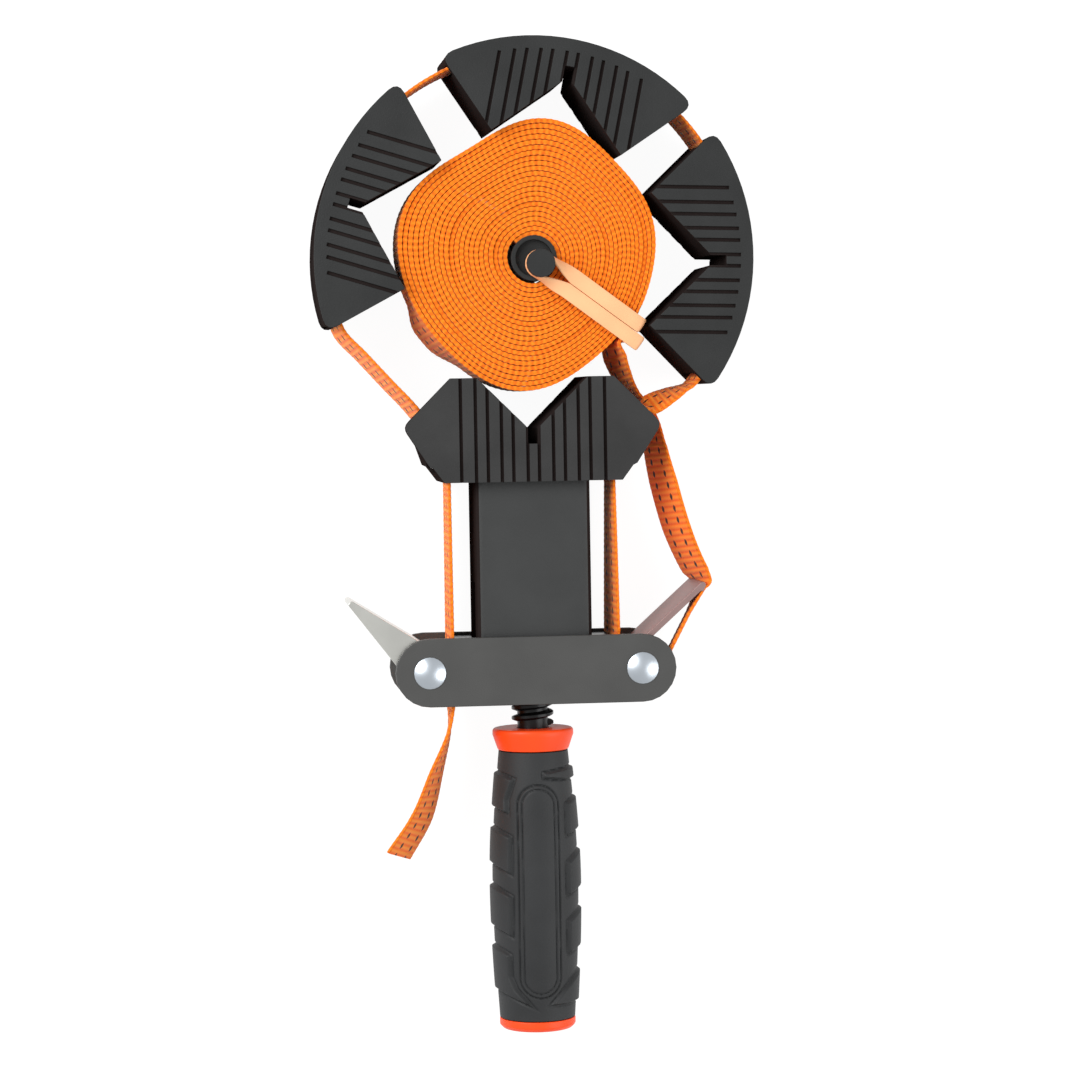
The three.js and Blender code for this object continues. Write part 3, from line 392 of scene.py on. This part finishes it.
def lay(name, rows, thick, columns=COLUMNS, weights=EDGE_WEIGHTS, depths=RIB_DEPTHS, fills=None, closed=False):
    """A ribbon through rows (middle, across, width), in millimetres, with ribs in its thickness."""
    bpy.ops.object.select_all(action="DESELECT")
    bpy.ops.mesh.primitive_grid_add(x_subdivisions=len(columns) - 1, y_subdivisions=len(rows) - 1, size=1)
    ribbon = bpy.context.object
    ribbon.name = name
    ribbon.data.name = name
    mesh = ribbon.data
    travel = [0.0]
    for (before, _, _), (after, _, _) in zip(rows, rows[1:]):
        travel.append(travel[-1] + (after - before).length)
    spots, corners, groups = [], [], {}
    for v in mesh.vertices:
        column = round((v.co.x + 0.5) * (len(columns) - 1))
        row = round((v.co.y + 0.5) * (len(rows) - 1))
        middle_of_row, wide, width = rows[row]
        spots.extend(place(*(middle_of_row + wide * ((columns[column] - 0.5) * width))))
        corners.append((columns[column], travel[row] * MM))
        swell = 1 - depths[column] * (0.5 - 0.5 * math.sin(math.tau * travel[row] / RIB))
        fill = fills[row] if fills else 1
        groups.setdefault(round(weights[column] * swell * fill, 2), []).append(v.index)
    mesh.vertices.foreach_set("co", spots)
    layer = mesh.uv_layers.active.data
    for corner in mesh.loops:
        layer[corner.index].uv = corners[corner.vertex_index]
    swelling = ribbon.vertex_groups.new(name="swelling")
    for weight, members in groups.items():
        swelling.add(members, weight, "REPLACE")
    if closed:
        bpy.ops.object.mode_set(mode="EDIT")
        bpy.ops.mesh.select_all(action="SELECT")
        bpy.ops.mesh.remove_doubles(threshold=1e-6)
        bpy.ops.object.mode_set(mode="OBJECT")
    solid = ribbon.modifiers.new("thickness", "SOLIDIFY")
    solid.thickness = thick * MM
    solid.offset = 0
    solid.vertex_group = "swelling"
    bpy.ops.object.modifier_apply(modifier=solid.name)
    ribbon.vertex_groups.clear()
    bpy.ops.object.shade_smooth_by_angle(angle=math.radians(50))
    return ribbon


# %% Webbing on edge, and dressing a piece


def lay_strap(name, stations):
    """A run of webbing on edge, its front edge leaning to the right of its way by the lean."""
    rows = []
    for spot, way, width, lean in smooth_route(stations):
        side = Vector((way.y, -way.x, 0))
        rows.append((spot, Vector((0, 0, math.cos(lean))) + side * math.sin(lean), width))
    return lay(name, rows, STRAP_THICK)


def dress(piece, finish, body=None, stands_for=()):
    """Gives a finished piece its material and its body, and hides the solids that it stands for."""
    piece.data.materials.clear()
    piece.data.materials.append(finish)
    if body:
        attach(piece, body)
    if stands_for:
        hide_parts(*stands_for)
    print(piece.name, "triangles", sum(len(p.vertices) - 2 for p in piece.data.polygons))


# %% [markdown]
# ### The strap's way through the tool
# The webbing comes off the coil, passes behind the loop at the right wing, turns round the right lever's tip and
# hub, runs up through the head, round the four jaws, down again and out at the left as a loose tail. Each station is
# a place, a width and a lean. They follow the solids' route, with a few millimetres of slack where the webbing hangs
# free. Where two runs meet they are squeezed to half their width.

# %% Places along the way
LOOP = (1.6, 131.2)
BAND_R = 65.6
STRAND_X = 26.4
PIN = (29.5, 66.6)
ENTRY = (36.6, 82.8)
LEVER_TIP = (54.417, 26.004)
OFF_TIP = (55.914, 24.834)
STRAP_FRONT = AXIS_Z + STRAP_WIDTH / 2
SQUEEZED = 12.6
JOIN_UP, JOIN_DOWN = 60.3, 12.0


def level(spot, lean=0):
    return (*spot, AXIS_Z, STRAP_WIDTH, lean)


def in_front(spot, width, lean=0):
    return (*spot, STRAP_FRONT + 0.3 - width / 2, width, lean)


def between(first, second, part):
    return tuple(a + (b - a) * part for a, b in zip(first, second))


def mirrored(spots):
    return [(-x, y) for x, y in reversed(spots)]


# %% Stations of the loop
wing = [(STRAND_X, 63.6), *arc(3.1, 180, 146.24, 3, *PIN), ENTRY]
ring = arc(BAND_R, -38.457, 200.257, 40, *LOOP)
left_entry = (-ENTRY[0], ENTRY[1])
loop_stations = [
    level((STRAND_X, JOIN_UP), -1),
    *[in_front(spot, width) for spot, width in zip(wing, (25, 24, 22.5, 21, 19.5, 14.5))],
    in_front(between(ENTRY, ring[0], 0.17), SQUEEZED, 28),
    in_front(between(ENTRY, ring[0], 0.5), 18, 13),
    in_front(between(ENTRY, ring[0], 0.8), 23.5, 3),
    *[level(spot) for spot in ring[:-4]],
    *[level(spot, lean) for spot, lean in zip(ring[-4:], (-1, -3, -4, -5))],
    *[level(between(ring[-1], left_entry, part), -5) for part in (0.3, 0.65)],
    level(left_entry, -5),
    *[level(spot, -1) for spot in mirrored(wing[:-1])],
    level((-STRAND_X, JOIN_UP), 1),
]
print("stations of the loop:", len(loop_stations))

# %% [markdown]
# The run from the coil starts on the coil's last turn, so the coil's outline comes first. The four jaws press it out
# of round. A circle with a few lobes follows that: each lobe has a count round the coil, a size and an angle.

# %% The coil's outline
COIL_LOBES = [(1, 0.0556, 153.3), (2, 0.025, 68.9), (3, 0.0185, 39.7),
              (4, 0.0312, -8.4), (5, 0.0099, 15.3), (6, 0.0124, 24.9)]
COIL_TURNS = 22
COIL_END = -24
COIL_FIRST_R, COIL_PITCH = 8.3, 1.483


def coil_polar(turn):
    """Radius and angle of the coil after so many turns, wound outwards clockwise and pressed out of round."""
    angle = math.radians(COIL_END + (COIL_TURNS - turn) * 360)
    radius = COIL_FIRST_R + COIL_PITCH * turn
    press = sum(size * math.cos(count * (angle - math.radians(to))) for count, size, to in COIL_LOBES)
    return radius * (1 + press * min(1, radius / 40)), angle


def about_loop(radius, angle):
    return LOOP[0] + radius * math.cos(angle), LOOP[1] + radius * math.sin(angle)


print("coil ends at radius", round(coil_polar(COIL_TURNS)[0], 1), "mm")

# %% Stations of the other runs
feed_stations = [
    level(about_loop(*coil_polar(COIL_TURNS))),
    level(about_loop(37.55, math.radians(-33))),
    level(about_loop(37.6, math.radians(-40))),
    level(about_loop(38, math.radians(-46.5)), -5),
    (28.9, 99.3, 16.7, 23.5, -10),
    (31.5, 93.5, 14.1, 19.5, -10),
    (36.1, 87.5, 10.5, 14.5, -3),
    (40.3, 83.4, 9.5, SQUEEZED, 0),
    (41.6, 78.2, 11.5, 16, -6),
    (41.8, 70, 15.5, 22, -11),
    (43.9, 59, 17.5, 25, -12),
    (48, 44, 17.5, 25, -12.5),
    (51.3, 35.5, 17.5, 25, -11.5),
    (53.9, 30.2, 17.5, 25, -11),
    *[level(spot, lean) for spot, lean in zip(arc(1.9, 30, -20, 2, *LEVER_TIP), (-5, -1, 2))],
    level(OFF_TIP, 4),
]
round_hub = arc(7.7, -27.83, -180, 10, 34.1)
cam_stations = [
    level(OFF_TIP, 4),
    *[level(between(OFF_TIP, round_hub[0], part), 8) for part in (0.3, 0.7)],
    level(round_hub[0], 4),
    *[level(spot) for spot in round_hub[1:]],
    level((STRAND_X, JOIN_DOWN), 3),
]
tail_stations = [
    *[level((-STRAND_X, y)) for y in (JOIN_DOWN, 0, -10.9)],
    (-27.2, -20, AXIS_Z, STRAP_WIDTH, 6),
    (-31.4, -33, AXIS_Z, STRAP_WIDTH, 14),
    (-36.6, -48, AXIS_Z, STRAP_WIDTH, 21),
    (-44.2, -60, AXIS_Z, STRAP_WIDTH, 24),
]
print("stations of the other runs:", len(feed_stations), len(cam_stations), len(tail_stations))

# %% The runs of webbing
loop_strap = lay_strap("webbing_loop", loop_stations)
dress(loop_strap, webbing_finish, "head", ["strap_loop"])
cam_strap = lay_strap("webbing_cam", cam_stations)
dress(cam_strap, webbing_finish, "crossbar", ["strap_cam"])
tail_strap = lay_strap("webbing_tail", tail_stations)
dress(tail_strap, webbing_finish, "crossbar", ["strap_tail"])

# %% [markdown]
# Two straight strands and the run from the coil join the head to the crossbar, which the screw moves. They
# belong to neither body: their places are baked into their meshes.

# %% The runs between head and crossbar
for side, x, lean_down, lean_up in (("right", STRAND_X, 3, -1), ("left", -STRAND_X, 0, -1)):
    strand = lay_strap("webbing_strand_" + side, [level((x, JOIN_DOWN), lean_down), level((x, JOIN_UP), lean_up)])
    dress(strand, webbing_finish, None, ["strap_strand_" + side])
    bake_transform(strand)
feed_strap = lay_strap("webbing_feed", feed_stations)
dress(feed_strap, webbing_finish, None, ["strap_feed"])
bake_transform(feed_strap)

# %% [markdown]
# ### The spare coil
# Some three and a half metres of webbing lie in a tight coil inside the jaws, and the photograph looks at their
# edges. The coil could be a disc with rings painted on it. Here it is wound turn by turn, and each turn stands a
# little higher or lower than the next, as a coil wound by hand does. Its thickness follows the room between the
# turns, and at the lower left the slack last turn spreads outwards at the back.

# %% Winding the coil
COIL_FINE = 0.6
COIL_COLUMNS = [0, 0.03, 0.5, 0.97, 1]
COIL_WEIGHTS = [0.93, 1, 1, 1, 0.93]
COIL_DEPTHS = [0.2, 0.2, 0.02, 0.2, 0.2]
COIL_THICKEST = 1.75
COIL_WIDTH = STRAP_WIDTH - 0.4
COIL_START = -0.45
TURN_GAP = 0.02
UNEVEN = [(0.2, 2.1), (0.14, 9.7)]
SLACK, SLACK_BEGINS, SLACK_ENDS = 2.6, (198, 212), (220, 238)


def eased_step(low, high, value):
    part = min(1, max(0, (value - low) / (high - low)))
    return part * part * (3 - 2 * part)


coil_rows, coil_fills = [], []
turn_now = COIL_START
while turn_now < COIL_TURNS:
    radius, angle = coil_polar(turn_now)
    room = (coil_polar(turn_now + 1)[0] - coil_polar(turn_now - 1)[0]) / 2
    spread = 0.0
    if turn_now > COIL_TURNS - 1:
        turned = math.degrees(angle)
        spread = SLACK * eased_step(*SLACK_BEGINS, turned) * (1 - eased_step(*SLACK_ENDS, turned))
    outward = Vector((math.cos(angle), math.sin(angle), 0))
    height = AXIS_Z + sum(size * math.sin(rate * turn_now) for size, rate in UNEVEN)
    spot = Vector((*about_loop(radius + spread / 2, angle), height))
    coil_rows.append((spot, Vector((0, 0, 1)) - outward * (spread / STRAP_WIDTH), COIL_WIDTH))
    coil_fills.append((room - TURN_GAP) / COIL_THICKEST)
    turn_now += COIL_FINE / (math.tau * (COIL_FIRST_R + COIL_PITCH * turn_now))
coil = lay("webbing_coil", coil_rows, COIL_THICKEST, COIL_COLUMNS, COIL_WEIGHTS, COIL_DEPTHS, coil_fills)
dress(coil, webbing_finish, "head", ["strap_coil"])

# %% [markdown]
# ## Rubber band
# A pale rubber band keeps the coil shut: it loops round the knob in the middle, stretches to the lower right, folds
# over the coil's edge and comes back behind. It is laid like the webbing, as a ribbon that turns on its way from the
# upright loop round the knob to the flat strands, and its two ends are welded.

# %% Laying the band
FOLD = math.radians(-36.5)
OUT = Vector((math.cos(FOLD), math.sin(FOLD), 0))
SIDE = Vector((-OUT.y, OUT.x, 0))
UP = Vector((0, 0, 1))
KNOB, KNOB_R = (3.1, 129.3), 4.05
KNOB_FRONT, KNOB_BACK = 33.2, 3.03
EDGE_R = 38.95
BAND_WIDTH, BAND_WIDTH_AT_KNOB, BAND_THICK = 4.8, 2.6, 1.1
BAND_FRONT, BAND_BACK = 31.35, 3.95
BAND_COLUMNS = [0, 0.12, 0.5, 0.88, 1]
BAND_WEIGHTS = [0.4, 0.9, 1, 0.9, 0.4]
band_stops = []


def round_knob(z, wide, start):
    for i in range(9):
        angle = FOLD + math.radians(start + wide.z * 180 * i / 8)
        spot = Vector((KNOB[0] + KNOB_R * math.cos(angle), KNOB[1] + KNOB_R * math.sin(angle), z))
        band_stops.append((spot, wide, BAND_WIDTH_AT_KNOB))


def over_edge(side, tongue):
    """The way of one strand from the front over the coil's edge to the back, with a tongue folded outwards."""
    front = [(-25, 1.6), (-17, 1.1), (-8, 0.5), (tongue - 0.7, 0.45), (tongue - 0.15, 0.25), (tongue, -0.1),
             (tongue - 0.2, -0.45), (tongue - 0.8, -0.65), (0.3, -0.7), (0, -1.4), (0, -8)]
    back = [(0, 8), (0, 1), (-0.3, 0.3), (-1, 0), (-4, 0), (-14, 0)]
    way = [(r, BAND_FRONT + z) for r, z in front] + [(r, BAND_BACK + z) for r, z in back]
    return [Vector((*LOOP, z)) + OUT * (EDGE_R + r) + SIDE * side for r, z in way]


round_knob(KNOB_FRONT, UP, 90)
band_stops.extend((spot, SIDE, BAND_WIDTH) for spot in over_edge(-2.5, 4.3))
round_knob(KNOB_BACK, -UP, 270)
band_stops.extend((spot, -SIDE, BAND_WIDTH) for spot in reversed(over_edge(2.5, 1.5)))
band_rows = []
for (spot, wide, width), (after, wide_after, width_after) in zip(band_stops, band_stops[1:] + band_stops[:1]):
    parts = 12 if (wide - wide_after).length > 0.1 else 3
    for i in range(parts):
        t = i / parts
        turned = (wide * (1 - t) + wide_after * t).normalized()
        band_rows.append((spot.lerp(after, t), turned, width * (1 - t) + width_after * t))
band_rows.append(band_rows[0])
band = lay("elastic_band", band_rows, BAND_THICK, BAND_COLUMNS, BAND_WEIGHTS, [0] * len(BAND_COLUMNS), closed=True)
dress(band, band_rubber, "head", ["rubber_band"])

# %% [markdown]
# ## Screw
# The screw has a coarse trapezoidal thread, black and oiled. A picture of a thread on a cylinder would show at its
# outline, so the ridge is real: one section of it, set beside the axis, is swept along a helix by the Screw modifier.

# %% The thread
THREAD_PITCH, THREAD_LOW, THREAD_HIGH = 3.3, -18.0, 57.0
RIDGE = [(4.6, -1.4), (5.0, -1.22), (6.5, -0.66), (6.8, -0.4), (6.8, 0.4), (6.5, 0.66), (5.0, 1.22), (4.6, 1.4)]
bpy.ops.object.select_all(action="DESELECT")
bpy.ops.mesh.primitive_circle_add(vertices=len(RIDGE), radius=1, location=place(0, THREAD_LOW, AXIS_Z))
screw = bpy.context.object
for v, (r, y) in zip(screw.data.vertices, RIDGE):
    v.co = Vector((r, y, 0)) * MM
helix = screw.modifiers.new("helix", "SCREW")
helix.axis = "Y"
helix.screw_offset = THREAD_PITCH * MM
helix.iterations = round((THREAD_HIGH - THREAD_LOW) / THREAD_PITCH)
helix.steps = helix.render_steps = 36
helix.use_merge_vertices = False
bpy.ops.object.modifier_apply(modifier=helix.name)
bpy.ops.object.mode_set(mode="EDIT")
bpy.ops.mesh.select_all(action="SELECT")
bpy.ops.mesh.fill_holes(sides=len(RIDGE))
bpy.ops.mesh.normals_make_consistent(inside=False)
bpy.ops.object.mode_set(mode="OBJECT")
print("faces of the thread:", len(screw.data.polygons))

# %% [markdown]
# The core is a plain rod. Its far end is inset and drawn out to the thinner tip that turns in the head, and then the
# thread is joined to it.

# %% The core with its tip
CORE_R, CORE_LOW, CORE_HIGH = 4.95, -85.6, 58.7
TIP_STEP, TIP_LENGTH = 0.75, 8.2
bpy.ops.mesh.primitive_cylinder_add(vertices=48, radius=CORE_R * MM, depth=(CORE_HIGH - CORE_LOW) * MM,
                                    location=place(0, (CORE_LOW + CORE_HIGH) / 2, AXIS_Z),
                                    rotation=(-math.pi / 2, 0, 0))
core = bpy.context.object
bpy.ops.object.mode_set(mode="EDIT")
bpy.ops.mesh.select_all(action="DESELECT")
bpy.ops.object.mode_set(mode="OBJECT")
for face in core.data.polygons:
    face.select = face.normal.z > 0.9
bpy.ops.object.mode_set(mode="EDIT")
bpy.ops.mesh.inset(thickness=TIP_STEP * MM)
bpy.ops.mesh.extrude_region_move(TRANSFORM_OT_translate={"value": (0, TIP_LENGTH * MM, 0)})
bpy.ops.object.mode_set(mode="OBJECT")
screw.select_set(True)
bpy.context.view_layer.objects.active = screw
bpy.ops.object.join()
bpy.ops.object.transform_apply(location=True, rotation=True, scale=True)
bpy.ops.object.shade_smooth_by_angle(angle=math.radians(35))
screw.name = screw.data.name = "screw_threaded"
dress(screw, black_steel, "handle", ["spindle"])

# %% [markdown]
# ## Hard pieces
# Moulded and stamped pieces have the right shape already, but their edges are sharp as no real edge is. A copy of
# each solid is welded, its flat faces are joined, and a narrow bevel rounds the edges, so that they catch the light.
# The upright walls and the grooves of the jaws, and the tube's walls, get a finish of their own. It is matte, and
# its darker, browner colour is painted shade.

# %% Bright steel, and a copy with eased edges
zinc = coated("zinc_steel", srgb(222, 222, 216), 0.3, 500, 0.00002, metallic=1.0, vary=0.06)
rivet_steel = coated("rivet_steel", srgb(205, 213, 221), 0.36, 500, 0.00002, metallic=1.0, vary=0.05)
# The right lever is the same zinc as the left one. Its darker, brownish colour is painted shade and a painted
# reflection of the orange webbing.
zinc_painted_shade = coated("zinc_painted_shade", srgb(146, 120, 117), 0.5, 500, 0.00002, metallic=0.5, vary=0.06)
print("steels:", zinc.name, rivet_steel.name, zinc_painted_shade.name)


def eased_copy(node, width):
    piece = bpy.data.objects.new(node + "_eased", nodes[node].data.copy())
    scene.collection.objects.link(piece)
    bpy.ops.object.select_all(action="DESELECT")
    piece.select_set(True)
    bpy.context.view_layer.objects.active = piece
    bpy.ops.object.mode_set(mode="EDIT")
    bpy.ops.mesh.select_all(action="SELECT")
    bpy.ops.mesh.remove_doubles(threshold=1e-6)
    bpy.ops.mesh.dissolve_limited(angle_limit=math.radians(1))
    bpy.ops.object.mode_set(mode="OBJECT")
    bevel = piece.modifiers.new("eased", "BEVEL")
    bevel.width = width * MM
    bevel.segments = 2
    bevel.limit_method = "ANGLE"
    bevel.angle_limit = math.radians(28)
    bpy.ops.object.modifier_apply(modifier=bevel.name)
    bpy.ops.object.shade_smooth_by_angle(angle=math.radians(38))
    weighted = piece.modifiers.new("flat_faces", "WEIGHTED_NORMAL")
    weighted.keep_sharp = True
    bpy.ops.object.modifier_apply(modifier=weighted.name)
    return piece


# %% Jaws, plates, levers, collar and core
HARD = [
    ("fixed_jaw", 0.35, head_plastic, "jaw_plastic", "head"),
    ("jaw_left", 0.35, jaw_plastic, "jaw_plastic", "left_jaw"),
    ("jaw_top", 0.35, jaw_plastic, "jaw_plastic", "top_jaw"),
    ("jaw_right", 0.35, jaw_plastic, "jaw_plastic", "right_jaw"),
    ("coil_core", 0.3, jaw_plastic, "jaw_plastic", "head"),
    ("front_plate", 0.4, dark_paint, "dark_paint", "crossbar"),
    ("rear_plate", 0.4, dark_paint, "dark_paint", "crossbar"),
    ("guide_tube", 0.3, tube_paint, "dark_paint", "head"),
    ("lever_left", 0.3, zinc, "zinc_steel", "left_lever"),
    # the right lever: zinc with painted shade and a painted reflection
    ("lever_right", 0.3, zinc_painted_shade, "zinc_steel", "right_lever"),
    ("rivet_left", 0.2, rivet_steel, "zinc_steel", "crossbar"),
    ("rivet_right", 0.2, rivet_steel, "zinc_steel", "crossbar"),
    ("handle_core", 0.35, orange_plastic, "orange_plastic", "handle"),
]
SUNK = 0.45
# Matte, and painted darker and browner than the fronts: painted shade on the upright walls and in the grooves.
matte_wall_painted_shade = coated("matte_wall_painted_shade", srgb(40, 34, 33), 0.75, 2600, 0.00012, specular=0.0)
for node, width, finish, slot, body in HARD:
    piece = eased_copy(node, width)
    dress(piece, finish, body, [node])
    if "jaw" in node or node == "guide_tube":
        piece.data.materials.append(matte_wall_painted_shade)
        back, front = [corner.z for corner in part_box(node)]
        # Upright faces and sunken groove floors take the painted shade.
        for face in piece.data.polygons:
            upright = abs(face.normal.z) < 0.2
            sunk = back + SUNK * MM < face.center.z < front - SUNK * MM
            face.material_index = 1 if upright or sunk else 0

# %% [markdown]
# ## Grip
# The handle's grip is soft black rubber moulded over the core, with raised pads at both sides and a bare oval panel
# in front. The pads could be cut from the solid, but rubber has no crisp edges. So a fine grid is rolled round the
# axis, and each of its points is lifted by how deep it lies inside the nearest pad. A shallow furrow runs round every
# pad.

# %% The pads' outlines
GRIP_TOP, GRIP_LENGTH, GRIP_BORE = -26.9, 86.4, 8.3
PAD_RISE, FURROW_DEPTH = 0.95, 0.42


def beyond(first, second):
    """How far a point lies to the right of the line from first to second, with the distance down the grip as y."""
    (x0, y0), (x1, y1) = first, second
    length = math.hypot(x1 - x0, y1 - y0)
    return lambda x, y: ((y - y0) * (x1 - x0) - (x - x0) * (y1 - y0)) / length


def side_pad(top, foot, *inner):
    """A pad at one side: under its top line, above its foot line and outside any of its inner lines."""
    lines = [beyond(*top), beyond(*reversed(foot))]
    inside = [beyond(*line) for line in inner]
    return lambda x, y: min(*[line(x, y) for line in lines], max(line(x, y) for line in inside))


OUTER = 14.5
PADS = [
    side_pad([(-OUTER, 5.6), (-7.7, 8.4)], [(-OUTER, 17.2), (-9, 19.4)],
             [(-7.7, 9), (-9.9, 16)], [(-9.6, 0), (-9.6, 30)]),
    side_pad([(-OUTER, 23.8), (-8.6, 27)], [(-OUTER, 35.6), (-8.6, 38.8)], [(-8.7, 20), (-8.9, 40)]),
    side_pad([(-OUTER, 42.8), (-8.6, 46.2)], [(-OUTER, 55.8), (-8.6, 58.9)], [(-8.7, 40), (-8.9, 60)]),
    side_pad([(-OUTER, 62.2), (-8.6, 65.6)], [(-OUTER, 76.2), (-3.9, 81)],
             [(-9.5, 60), (-9.3, 74)], [(-9.4, 72), (-7.4, 77)], [(-8.4, 75.4), (-3.6, 80.8)]),
    side_pad([(2, 6.5), (OUTER, 4.9)], [(2, 7.9), (OUTER, 9.3)], [(2, 20), (2, 0)]),
    side_pad([(9.4, 16.8), (OUTER, 13.6)], [(9.4, 26.8), (OUTER, 24.9)], [(9.5, 30), (9.5, 10)]),
    side_pad([(9.4, 35.6), (OUTER, 31.4)], [(9.4, 46), (OUTER, 43.8)], [(9.4, 50), (9.4, 30)]),
    side_pad([(9.4, 54.6), (OUTER, 50.4)], [(9.4, 65), (OUTER, 63)], [(9.4, 70), (9.4, 50)]),
    side_pad([(2, 82.6), (13.9, 70.2)], [(0, 81.2), (OUTER, 81.2)], [(2, 90), (2, 60)]),
]
print("pads on the grip:", len(PADS))

# %% Rolling the grip
PANEL_HALF, PANEL_TOP, PANEL_FOOT = 6.4, 10.4, 78.7
PANEL_OUTER_LINE, PANEL_INNER_LINE = -0.2, 1.2
PANEL_LINE_DEPTH, PANEL_RISE, LINE_HALF = 0.5, 0.3, 0.45
GRIP_TOP_R, GRIP_MIDDLE_R, GRIP_FOOT_R = 11.2, 13.9, 12.2
GRIP_ROWS, GRIP_COLUMNS = 246, 252


def furrow(off):
    """One in the middle of a furrow, nothing at its two edges."""
    return 1 - eased_step(0, LINE_HALF, abs(off))


def grip_height(x, y, front):
    depth = max(pad(x, y) for pad in PADS)
    height = PAD_RISE * eased_step(-0.1, LINE_HALF, depth) - FURROW_DEPTH * furrow(depth + LINE_HALF)
    if front:
        off_line = max(PANEL_TOP + PANEL_HALF - y, y - PANEL_FOOT + PANEL_HALF, 0)
        rim = PANEL_HALF - math.hypot(x, off_line)
        height -= PANEL_LINE_DEPTH * (furrow(rim - PANEL_OUTER_LINE) + furrow(rim - PANEL_INNER_LINE))
        height += PANEL_RISE * eased_step(-0.15, 0.35, rim)
    return height


bpy.ops.object.select_all(action="DESELECT")
bpy.ops.mesh.primitive_grid_add(x_subdivisions=GRIP_COLUMNS, y_subdivisions=GRIP_ROWS + 3, size=1)
grip = bpy.context.object
grip.name = grip.data.name = "grip_moulded"
spots = []
for v in grip.data.vertices:
    turned = math.tau * (v.co.x + 0.5)
    step = round((v.co.y + 0.5) * (GRIP_ROWS + 3))
    part = min(1, max(0, (step - 1) / GRIP_ROWS)) if step < GRIP_ROWS + 3 else 0
    radius = GRIP_BORE
    if 0 < step < GRIP_ROWS + 2:
        end_r = GRIP_TOP_R if part < 0.5 else GRIP_FOOT_R
        radius = end_r + (GRIP_MIDDLE_R - end_r) * math.sin(math.pi * part)
        radius += grip_height(radius * math.sin(turned), part * GRIP_LENGTH, math.cos(turned) > 0)
    spots.extend(place(radius * math.sin(turned), GRIP_TOP - part * GRIP_LENGTH, AXIS_Z + radius * math.cos(turned)))
grip.data.vertices.foreach_set("co", spots)
bpy.ops.object.mode_set(mode="EDIT")
bpy.ops.mesh.select_all(action="SELECT")
bpy.ops.mesh.remove_doubles(threshold=1e-6)
bpy.ops.mesh.normals_make_consistent(inside=False)
bpy.ops.object.mode_set(mode="OBJECT")
bpy.ops.object.shade_smooth_by_angle(angle=math.radians(50))
dress(grip, grip_rubber, "handle", ["handle_grip"])

# %% [markdown]
# The pieces inside stay as they are and get their finish.

# %% Inner pieces
INNER = {"guide_pin_left": zinc, "guide_pin_right": zinc, "retaining_clip": zinc,
         "thrust_plate": black_steel, "threaded_bridge": black_steel}
for node, finish in INNER.items():
    nodes[node].data.materials.clear()
    nodes[node].data.materials.append(finish)
print("inner pieces:", list(INNER))
